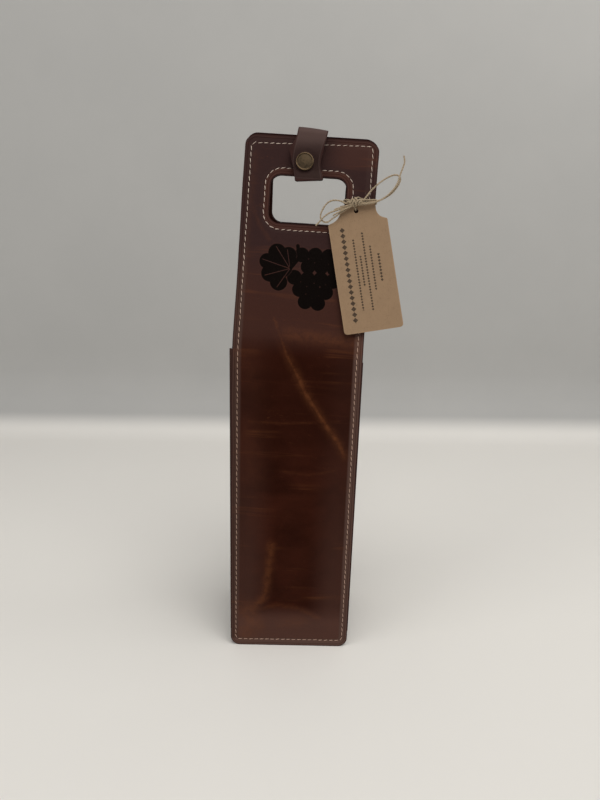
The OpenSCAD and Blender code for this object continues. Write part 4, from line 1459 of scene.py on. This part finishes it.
def make_strap():
    """The strap in two halves that meet over the bar: one on the back flap, the other on the front flap."""
    look = settings("carrier_strap")
    line = strap_line()
    total = measured(line)[-1]
    last = line[-1] - line[-2]
    line = np.vstack([line, line[-1] + last / np.linalg.norm(last) * 0.004])
    ends = measured(line)
    corner = 0.0013
    rows = rows_up(0, total, corner, corner, None, STRAP_PITCH)
    half = look.width / 2
    columns = 26
    piece, column, row = grid("strap", columns, len(rows) - 1)
    at = rows[row]
    across = (column / columns * 2 - 1) * rounded_half(at, 0, total, corner, corner, half)
    up_front = STRAP_LOW + total - at
    # A little wider above the snap and narrower below it
    across *= 1 + 0.045 * bell(up_front, 0.0035, 0.1522) - 0.04 * bell(up_front, 0.005, 0.1412)
    swerve = 0.0019 * bell(up_front, 0.0045, 0.1535) - 0.0014 * smooth((0.1445 - up_front) / 0.006)
    across -= swerve * np.clip(-across / half, 0, None)
    at = at - across * 0.10 * smooth((at - total + 0.012) / 0.012)
    y, z = places_on(line, ends, at).T
    step = 0.0006
    run = places_on(line, ends, at + step) - places_on(line, ends, at - step)
    run /= np.linalg.norm(run, axis=1)[:, None]
    outward = np.stack([run[:, 1], -run[:, 0]], 1)
    up_back = STRAP_BASE_LOW + at
    bow_back = np.interp(up_back, *np.array(STRAP_BOW_BACK).T)
    bow_front = np.interp(up_front, *np.array(STRAP_BOW_FRONT[::-1]).T)
    share = smooth((at - 0.0216) / 0.012)
    middle = bow_back * (1 - share) + bow_front * share
    by_row = np.array([middle[row == k].mean() for k in range(len(rows))])
    middle = np.convolve(np.pad(by_row, 4, "edge"), np.ones(9) / 9, "valid")[row]
    from_snap = np.hypot(across + middle - SNAP_X, up_front - SNAP_Z)
    lift = 0.0006 * bell(up_front, 0.005, 0.1575)
    lift += 0.0011 * smooth((0.1385 - up_front) / 0.008)
    lift -= 0.00035 * bell(from_snap, 0.0016, 0.0078)
    lift += 0.0005 * (1 - (across / half) ** 2) * bell(at, 0.009, STRAP_MIDDLE_FROM_END)
    lift -= 0.0004 * (across / half) ** 2 * bell(up_front, 0.009, 0.1475)
    y, z = y + outward[:, 0] * lift, z + outward[:, 1] * lift
    z += (0.0004 - 0.0008 * across / half) * np.exp(-((at - STRAP_MIDDLE_FROM_END) / 0.011) ** 4)
    store(piece, "margin", np.minimum(half - np.abs(across), np.minimum(at, total - at)))
    move_to(piece, upper(across + middle, y, z))
    top = max(piece.data.polygons, key=lambda f: f.center.z)
    if top.normal.z < 0:
        flip_faces(piece)
    thicken(piece, look.thickness, 0.0004)
    middle_y = (line[BEND_POINTS, 0] + line[BEND_POINTS + 1, 0]) / 2
    other = duplicate(piece)
    for half_piece, name, inner in ((piece, "strap_rear", True), (other, "strap_front", False)):
        edit(half_piece)
        bpy.ops.mesh.select_all(action="SELECT")
        bpy.ops.mesh.bisect(plane_co=(0, middle_y, 0), plane_no=(0, 1, 0), use_fill=True,
                            clear_inner=inner, clear_outer=not inner)
        bpy.ops.object.mode_set(mode="OBJECT")
        half_piece.name = half_piece.data.name = name
        finish_piece(half_piece, material("strap_leather"), "strap")
    rear_bend = upper(STRAP_X, 0.0045, 0.16469)
    front_bend = upper(STRAP_X, -0.00861, 0.16469)
    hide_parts("strap_base")
    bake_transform(piece)
    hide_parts("strap_bridge", "strap_tongue")
    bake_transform(other)


CAP_PROFILE = [
    (0, 1.34), (1.6, 1.31), (3.2, 1.23), (4.6, 1.12), (5.1, 1.05), (5.35, 1.02), (5.5, 1.12), (5.65, 1.32),
    (5.85, 1.46), (6.1, 1.52), (6.35, 1.46), (6.55, 1.26), (6.6, 0.96), (6.58, 0.5), (6.45, 0.16), (6.2, 0.0),
    (4.0, 0.0), (1.6, 0.0), (1.6, -1.0), (1.6, -1.9), (0, -1.9)]
# How bright each row of the cap's profile is rubbed, with a painted highlight on the rolled rim
CAP_RUB_HIGHLIGHT = [0.25, 0.2, 0.15, 0.1, 0, 0, 0, 0.4, 0.9, 1.0, 1.0, 0.8, 0.35, 0.2, 0.1, 0, 0, 0, 0, 0, 0]
RIVET_PROFILE = [
    (0, 0.86), (0.9, 0.84), (1.8, 0.76), (2.6, 0.60), (3.2, 0.38), (3.5, 0.16), (3.6, 0.0), (1.5, 0.0),
    (1.5, -3.0), (1.5, -6.0), (3.4, -6.0), (3.6, -6.2), (3.5, -6.5), (2.6, -6.78), (0, -6.84)]
# How bright each row of the rivet's profile is rubbed, with a painted highlight on its rims
RIVET_RUB_HIGHLIGHT = [0.5, 0.5, 0.45, 0.4, 0.5, 0.8, 0.4, 0, 0, 0, 0, 0.5, 0.8, 0.4, 0.4]


def store_rub_highlight(piece, profile, rub_highlight):
    """How bright each vertex is rubbed, with a painted highlight on the rims, from the nearest point of the
    profile.
    """
    co = vertices(piece)
    away = np.hypot(np.hypot(co[:, 0], co[:, 1])[:, None] - profile[:, 0], co[:, 2][:, None] - profile[:, 1])
    store(piece, "rub_highlight", np.array(rub_highlight)[np.argmin(away, axis=1)])


def make_snap():
    """The snap's cap, with its rolled rim."""
    profile = np.array(CAP_PROFILE) / 1000
    piece = turned("snap_cap_domed", profile, 64)
    store_rub_highlight(piece, profile, CAP_RUB_HIGHLIGHT)
    co = vertices(piece)
    move_to(piece, on_flap(SNAP_X + co[:, 0], -STRAP_FACE - co[:, 2], SNAP_Z + co[:, 1]))
    clean(piece, 2e-6)
    finish_piece(piece, material("antique_brass"), "brass", math.radians(50))
    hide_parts("snap_cap")
    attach(piece, "strap_tongue")
    for name in ("snap_socket", "snap_stud", "snap_post"):
        node_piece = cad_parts[name]
        node_piece.data.materials.clear()
        node_piece.data.materials.append(material("antique_brass"))


def make_rivets():
    """Two domed rivets that hold the strap on the back flap, with their heads inside."""
    profile = np.array(RIVET_PROFILE) / 1000
    model = turned("rivet", profile, 32)
    store_rub_highlight(model, profile, RIVET_RUB_HIGHLIGHT)
    clean(model, 2e-6)
    frames = []
    for offset in (-0.0055, 0.0055):
        at = on_flap(STRAP_X + offset, -STRAP_BASE_FACE, RIVET_Z, BACK)
        matrix = np.eye(4)
        for k, way in enumerate(((1, 0, 0), (0, 0, 1), (0, -1, 0))):
            matrix[:3, k] = on_flap(*way, BACK) - on_flap(0, 0, 0, BACK)
        matrix[:3, 3] = at
        frames.append(Matrix(matrix.tolist()))
    piece = copies(model, frames, "strap_rivets_domed")
    bpy.data.objects.remove(model)
    finish_piece(piece, material("antique_brass"), "brass", math.radians(50))
    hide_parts("strap_rivets")
    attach(piece, "root")


def make_tag():
    """Kraft card with two uneven scooped shoulders and a punched hole, its lower end lifting a little."""
    look = settings("carrier_tag")
    top, hole_r, corner = TAG_TOP, TAG_HOLE_R, TAG_CORNER_R
    low = top - look.height
    parts = [low + corner_steps(corner, 7), spaced(low + corner, -0.0110, 0.0016), [top]]
    for notch, neck in TAG_NOTCHES:
        foot = top - neck - notch
        parts += [foot - TAG_SHOULDER_R + TAG_SHOULDER_R * np.sin(np.linspace(0, math.pi / 2, 5)),
                  foot + corner_steps(notch, 10)]
    rows = np.unique(np.round(np.concatenate(parts), 7))
    rows = rows[np.append(True, np.diff(rows) > 0.00012)]
    half_columns = 20
    piece, column, row = grid("hang_tag_card", 2 * half_columns, len(rows) - 1)
    z = rows[row]
    halves = []
    for notch, neck in TAG_NOTCHES:
        half = rounded_half(z, low, top, corner, 0, look.width / 2)
        scoop = np.sqrt(np.clip(notch ** 2 - np.clip(top - neck - z, 0, None) ** 2, 0, None))
        over = np.clip(z - (top - neck - notch - TAG_SHOULDER_R), 0, TAG_SHOULDER_R)
        shoulder = look.width / 2 - TAG_SHOULDER_R + np.sqrt(TAG_SHOULDER_R ** 2 - over ** 2)
        halves.append(np.minimum(half, np.minimum(look.width / 2 - scoop, shoulder)))
    x = (column / half_columns - 1) * np.where(column < half_columns, *halves)
    move_to(piece, points(x, 0, z))
    face_outwards(piece, FRONT)
    modify(piece, "SOLIDIFY", thickness=look.thickness, offset=-1)
    deselect()
    bpy.ops.mesh.primitive_cylinder_add(vertices=28, radius=hole_r, depth=0.01, rotation=(math.pi / 2, 0, 0))
    punch = named("punch")
    modify(piece, "BOOLEAN", operation="DIFFERENCE", object=punch, solver="EXACT")
    bpy.data.objects.remove(punch)
    modify(piece, "BEVEL", width=0.00012, segments=2, limit_method="ANGLE", angle_limit=math.radians(60))
    co = vertices(piece)
    x, z = co[:, 0], co[:, 2]
    store(piece, "flat", points(x, z, 0))
    margin = np.minimum(look.width / 2 - np.abs(x), z - low)
    notch, neck = (np.where(x < 0, *pair) for pair in zip(*TAG_NOTCHES))
    shoulder = np.hypot(look.width / 2 - np.abs(x), np.clip(top - neck - z, 0, None)) - notch
    margin = np.minimum(np.minimum(margin, top - z), np.minimum(shoulder, np.hypot(x, z) - hole_r))
    store(piece, "margin", np.clip(margin, 0, None))
    down = np.clip(-z / look.height, 0, 1)
    curl = look.curl * down ** 2 + 0.0005 * (x / 0.0225) ** 2 * (0.4 + down) - 0.0004 * np.sin(down * math.pi)
    curl += 0.0007 * smooth((x + z * 0.35 - 0.012) / 0.03) * down
    cos, sin = math.cos(TAG_ANGLE), math.sin(TAG_ANGLE)
    move_to(piece, on_flap(TAG_X + x * cos - z * sin, co[:, 1] - curl - TAG_FACE, TAG_Z + x * sin + z * cos))
    finish_piece(piece, material("kraft_card"), "card")
    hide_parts("hang_tag")
    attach(piece, "tag")


def smooth_route(route, pitch):
    """A smooth line through a route's points, in even steps."""
    route = np.asarray(route, float)
    padded = np.vstack([2 * route[0] - route[1], route, 2 * route[-1] - route[-2]])
    fine = []
    for k in range(1, len(padded) - 2):
        before, first, last, after = padded[k - 1:k + 3]
        for t in np.linspace(0, 1, 12, endpoint=False):
            fine.append(0.5 * (
                2 * first + (last - before) * t + (2 * before - 5 * first + 4 * last - after) * t ** 2
                + (3 * first - before - 3 * last + after) * t ** 3))
    fine = np.vstack([fine, route[-1]])
    ends = measured(fine)
    at = np.linspace(0, ends[-1], int(round(ends[-1] / pitch)) + 1)
    return places_on(fine, ends, at), at


def untwisted(line):
    """Two ways square to a line at each of its points, with no twist of their own."""
    way = np.gradient(line, axis=0)
    way /= np.linalg.norm(way, axis=1)[:, None]
    first = np.zeros_like(line)
    side = np.cross(way[0], (0.3, 1, 0.2))
    for k, heading in enumerate(way):
        side = side - heading * (side @ heading)
        side = side / np.linalg.norm(side)
        first[k] = side
    return first, np.cross(way, first)


def twine(name, route, seed):
    """Twine of two twisted plies along a route, a little uneven, with closed ends."""
    look = settings("carrier_twine")
    sides = 14
    line, at = smooth_route(route, TWINE_PITCH)
    first, second = untwisted(line)
    draw = np.random.default_rng(seed)
    knots = np.arange(0, at[-1] + 0.004, 0.002)
    uneven = np.interp(at, knots, draw.normal(0, 0.05, len(knots)))
    last = len(line) - 1
    piece, column, row = grid(name, sides, last + 2)
    turn = column * 2 * math.pi / sides
    row_in = np.clip(row - 1, 0, last)
    lobe = np.abs(np.cos(turn - at[row_in] / look.lay * 2 * math.pi))
    radius = look.thickness / 2 * (0.66 + 0.40 * lobe ** 0.8) * (1 + uneven[row_in])
    radius = np.where((row == 0) | (row == last + 2), 0, radius)
    out = first[row_in] * np.cos(turn)[:, None] + second[row_in] * np.sin(turn)[:, None]
    move_to(piece, line[row_in] + out * radius[:, None])
    # Painted shade in the grooves between the plies, where the twine is thinnest
    store(piece, "ply_groove_shade", np.clip(1 - lobe * 1.7, 0, 1))
    clean(piece, 1e-6)
    finish_piece(piece, material("jute_twine"), "jute", math.radians(70))
    return piece, line


# Wraps of the knot in millimetres: place from its middle, tilt, first angle, turns, width and radius
KNOT_WRAPS = [
    (-4.0, -0.6, 0.90, 0.4, 1.10, 1.6, 1.7), (-2.0, -0.1, -0.50, 2.2, 1.35, 2.4, 2.4),
    (0.2, 0.2, 0.50, 0.9, 1.40, 2.8, 2.7), (2.0, -0.3, -0.85, 1.6, 1.25, 2.2, 2.4),
    (3.8, 0.1, 0.25, 2.9, 1.05, 2.0, 1.7), (0.2, 0.8, 1.35, 0.2, 1.00, 3.4, 1.5),
    (-0.8, -1.6, 0.15, 1.1, 1.20, 3.6, 1.6), (1.6, -1.5, -0.30, 2.6, 1.15, 3.0, 1.5)]
# Strand that runs from the knot along the card's top and back, in the front flap's frame
KNOT_HANK = [
    (35.6, -7.6, 117.4), (39, -7.9, 118.4), (43, -7.8, 118.8), (47, -7.2, 119.2), (50, -6.6, 119.6),
    (51, -6.2, 118.9), (49.6, -6.5, 117.9), (45.6, -7, 117.5), (41, -7.4, 117), (37, -7.4, 116.6),
    (34.6, -7.2, 116)]
# Two strands from the knot along the card's left shoulder
KNOT_LEFT = [
    [(33.6, -7.6, 115.2), (31, -7.8, 114.4), (28.4, -7.8, 113.3),
     (25.6, -7.6, 112.3), (22.6, -7.2, 111.6), (20, -6.9, 110.4)],
    [(33.2, -7.2, 114.2), (30.4, -7.7, 112.6), (27.4, -7.7, 110.9),
     (24.4, -7.5, 109.2), (21.6, -7.1, 107.8), (19.2, -6.8, 106)]]


def knot_strands():
    """The crossing wraps and the strands that show on the knot, as routes in millimetres."""
    strands = []
    for x, up, tilt, start, turns, width, size in KNOT_WRAPS:
        angle = start + turns * 2 * math.pi * np.linspace(0, 1, 20)
        across = width * np.linspace(-0.5, 0.5, 20)
        y, z = size * np.cos(angle) * 0.62, size * np.sin(angle)
        cos, sin = math.cos(tilt), math.sin(tilt)
        wrap = points(x + across * cos - z * sin, y, up + across * sin + z * cos)
        strands.append(wrap + np.array(KNOT_AT) * 1000)
    return [*strands, KNOT_HANK, *KNOT_LEFT]


def make_twine():
    """The tie round the handle's post, the bow's knot, its two loops and its two loose ends."""
    tie, _ = twine("twine_tie_plied", route_on_flap(TIE_ROUTE), 21)
    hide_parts("twine_tie")
    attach(tie, "front_flap")
    knots = [twine(f"knot_wrap_{k}", route_on_flap(s), 31 + k)[0] for k, s in enumerate(knot_strands())]
    knot = joined(knots, "twine_knot_wraps")
    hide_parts("twine_knot")
    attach(knot, "front_flap")
    made = [tie, knot]
    width = settings("carrier_twine").thickness
    for name, route, end, real in (
            ("twine_loop_left", LOOP_LEFT_ROUTE, "object", 0.060),
            ("twine_loop_right", LOOP_RIGHT_ROUTE, "object", 0.082),
            ("twine_tail_left", TAIL_LEFT_ROUTE, "bare", 0.032),
            ("twine_tail_right", TAIL_RIGHT_ROUTE, "bare", 0.057)):
        piece, line = twine(name + "_plied", route_on_flap(route), len(name) + len(route))
        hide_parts(name)
        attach(piece, "front_flap")
        made.append(piece)
    make_fuzz(made)


def make_fuzz(strands):
    """Loose fibres that stand off the twine, shared out by the strands' faces."""
    look = settings("carrier_twine")
    draw = random.Random(77)
    starts = []
    every = sum(len(strand.data.polygons) for strand in strands)
    for strand in strands:
        faces = strand.data.polygons
        for _ in range(max(4, int(look.fibres * len(faces) / every))):
            face = faces[draw.randrange(len(faces))]
            starts.append((np.array(face.center), np.array(face.normal)))
    sides, rings = 3, 4
    model, column, row = grid("fibre", sides, rings)
    turn = column * 2 * math.pi / sides
    thin = 0.5 * (1 - row / rings * 0.85)
    move_to(model, points(thin * np.cos(turn), thin * np.sin(turn), row / rings))
    clean(model, 1e-7)
    made = []
    for at, normal in starts:
        way = normal + np.array([draw.gauss(0, 0.9) for _ in range(3)])
        way /= np.linalg.norm(way)
        side = np.cross(way, (draw.gauss(0, 1), draw.gauss(0, 1), draw.gauss(0, 1)))
        side /= np.linalg.norm(side)
        size, bow = draw.uniform(*FIBRE_LENGTHS), draw.uniform(-0.45, 0.45)
        copy = duplicate(model)
        co = vertices(copy)
        share = co[:, 2]
        other = np.cross(way, side)
        co = (at + way * (share * size)[:, None] + side * (bow * size * share ** 2)[:, None]
              + (side * co[:, :1] + other * co[:, 1:2]) * FIBRE_D)
        move_to(copy, co)
        made.append(copy)
    piece = joined(made, "twine_fibres")
    bpy.data.objects.remove(model)
    finish_piece(piece, material("jute_twine"), "jute", math.radians(80))
    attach(piece, "front_flap")


def stage_material(name, floor, wall):
    """Plain matt surface of the floor and the backdrop, with a barely uneven tone."""
    made, tree, shader = new_material(name)
    vector = place(tree)
    patch = remap(tree, noise(tree, vector, 6.0, 4.0, 0.6), 0.3, 0.7, 0.0, 0.05)
    base = blend_colour(tree, remap(tree, height_of(tree, vector), 0.004, 0.030), floor, wall)
    mixed = blend_colour(tree, patch, base, times(floor, 0.9))
    dress(tree, shader, mixed, 0.75, noise(tree, vector, 90.0, 3.0), 0.0002, 0.2, Specular_IOR_Level=0.2)
    return made


def make_stage():
    """Floor and backdrop in one curved sheet, soft lamps and the camera."""
    look = settings("carrier_stage")
    columns, rows, width, total = 8, 120, 7, 5.2
    start, radius, wall_y = 2.4, 0.10, 0.62
    sheet, column, row = grid("backdrop", columns, rows)
    along = row / rows * total
    flat_end = start + wall_y - radius
    turn = np.clip((along - flat_end) / radius, 0, math.pi / 2)
    y = np.where(along < flat_end, along - start, wall_y - radius + radius * np.sin(turn))
    z = np.where(along < flat_end, 0, radius * (1 - np.cos(turn)))
    z += np.clip(along - flat_end - radius * math.pi / 2, 0, None)
    move_to(sheet, points((column / columns - 0.5) * width, y, z))
    paper = stage_material("pale_backdrop", list(look.floor), list(look.wall))
    finish_piece(sheet, paper, "leather", math.radians(60))
    del sheet["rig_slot"]

    world = bpy.data.worlds.new("soft_room")
    bpy.context.scene.world = world
    world.use_nodes = True
    tree = world.node_tree
    background = tree.nodes["Background"].inputs
    background["Color"].default_value = (0.93, 0.95, 1.0, 1)
    background["Strength"].default_value = 0.345
    for name, at, aim, size, power in (
            ("ceiling_lamp", (0.35, -0.75, 1.75), (0, 0, 0.2), 1.3, 23.0),
            ("side_lamp", (-1.3, -0.9, 0.9), (0, 0, 0.22), 1.0, 8.0),
            ("rear_lamp", (0.9, 0.05, 1.1), (0.75, 0.62, 0.5), 0.6, 2.6)):
        lamp = bpy.data.lights.new(name, "AREA")
        lamp.energy, lamp.size = power, size
        lamp.color = (1.0, 0.98, 0.95)
        holder = bpy.data.objects.new(name, lamp)
        bpy.context.scene.collection.objects.link(holder)
        holder.location = at
        holder.rotation_euler = (Vector(aim) - Vector(at)).to_track_quat("-Z", "Y").to_euler()

    view = bpy.data.cameras.new("photo_camera")
    view.lens, view.sensor_width = look.lens, 36
    view.clip_start, view.clip_end = 0.02, 50
    camera = bpy.data.objects.new("photo_camera", view)
    bpy.context.scene.collection.objects.link(camera)
    level_part = math.cos(look.pitch)
    forward = Vector((
        math.sin(look.yaw) * level_part, math.cos(look.yaw) * level_part, -math.sin(look.pitch)))
    level = Vector((math.cos(look.yaw), -math.sin(look.yaw), 0))
    upright = level.cross(forward)
    right = level * math.cos(look.roll) + upright * math.sin(look.roll)
    top = upright * math.cos(look.roll) - level * math.sin(look.roll)
    camera.matrix_world = Matrix((
        (right.x, top.x, -forward.x, look.camera_x), (right.y, top.y, -forward.y, look.camera_y),
        (right.z, top.z, -forward.z, look.camera_z), (0, 0, 0, 1)))
    bpy.context.scene.camera = camera
    bpy.context.scene.view_settings.view_transform = "Standard"


class CARRIER_OT_stage(bpy.types.Operator):
    """Add the pale floor and backdrop, the soft lamps and the camera"""
    bl_idname = "carrier.stage"
    bl_label = "Stage"

    def execute(self, context):
        make_stage()
        return {"FINISHED"}


class CARRIER_OT_twine(bpy.types.Operator):
    """Add the jute twine: tie, knot, loops, loose ends and fibres"""
    bl_idname = "carrier.twine"
    bl_label = "Twine"

    def execute(self, context):
        make_twine()
        return {"FINISHED"}


class CARRIER_OT_panels(bpy.types.Operator):
    """Add the front and back leather, each in one piece from the pocket over the fold to the flap"""
    bl_idname = "carrier.panels"
    bl_label = "Panels"

    def execute(self, context):
        make_panel("front_leather", FRONT, ("pocket_front", "front_flap"), FRONT_CREASE, FRONT_WEAR)
        make_panel("back_leather", BACK, ("pocket_back", "back_flap"), BACK_CREASE, BACK_WEAR)
        return {"FINISHED"}


class CARRIER_OT_linings(bpy.types.Operator):
    """Add the second leather layer behind each flap"""
    bl_idname = "carrier.linings"
    bl_label = "Linings"

    def execute(self, context):
        make_lining("front_lining_leather", FRONT, "front_lining", "front_flap")
        make_lining("back_lining_leather", BACK, "back_lining", "root")
        return {"FINISHED"}


class CARRIER_OT_gusset(bpy.types.Operator):
    """Add the gusset that makes the two sides and the base"""
    bl_idname = "carrier.gusset"
    bl_label = "Gusset"

    def execute(self, context):
        make_gusset()
        return {"FINISHED"}


class CARRIER_OT_seams(bpy.types.Operator):
    """Add every stitch of the pocket, flap and handle seams"""
    bl_idname = "carrier.seams"
    bl_label = "Seams"

    def execute(self, context):
        make_seams("front", FRONT)
        make_seams("back", BACK)
        return {"FINISHED"}


class CARRIER_OT_strap(bpy.types.Operator):
    """Add the strap that closes over the handle"""
    bl_idname = "carrier.strap"
    bl_label = "Strap"

    def execute(self, context):
        make_strap()
        return {"FINISHED"}


class CARRIER_OT_metal(bpy.types.Operator):
    """Add the snap and the rivets"""
    bl_idname = "carrier.metal"
    bl_label = "Snap and Rivets"

    def execute(self, context):
        make_snap()
        make_rivets()
        return {"FINISHED"}


class CARRIER_OT_tag(bpy.types.Operator):
    """Add the hanging kraft card"""
    bl_idname = "carrier.tag"
    bl_label = "Hang Tag"

    def execute(self, context):
        make_tag()
        return {"FINISHED"}


STEPS = (CARRIER_OT_stage, CARRIER_OT_twine, CARRIER_OT_panels, CARRIER_OT_linings, CARRIER_OT_gusset,
         CARRIER_OT_seams, CARRIER_OT_strap, CARRIER_OT_metal, CARRIER_OT_tag)


class CARRIER_PT_pieces(bpy.types.Panel):
    """Sizes, colours and the pieces of the carrier"""
    bl_idname = "CARRIER_PT_pieces"
    bl_label = "Bottle Carrier"
    bl_space_type = "VIEW_3D"
    bl_region_type = "UI"
    bl_category = "Carrier"

    def draw(self, context):
        layout = self.layout
        for name in SETTINGS:
            box = layout.box()
            box.label(text=name.split("_")[1].title())
            for key in SETTINGS[name].__annotations__:
                box.prop(getattr(context.scene, name), key)
        for step in STEPS:
            layout.operator(step.bl_idname)


def register():
    for name, kind in SETTINGS.items():
        bpy.utils.register_class(kind)
        setattr(bpy.types.Scene, name, PointerProperty(type=kind))
    for kind in (*STEPS, CARRIER_PT_pieces):
        bpy.utils.register_class(kind)


def unregister():
    for kind in (CARRIER_PT_pieces, *reversed(STEPS)):
        bpy.utils.unregister_class(kind)
    for name, kind in reversed(SETTINGS.items()):
        delattr(bpy.types.Scene, name)
        bpy.utils.unregister_class(kind)


def main():
    """Dresses the frame piece by piece."""
    register()
    for step in STEPS:
        group_name, operator = step.bl_idname.split(".")
        getattr(getattr(bpy.ops, group_name), operator)()


if __name__ == "__main__":
    main()
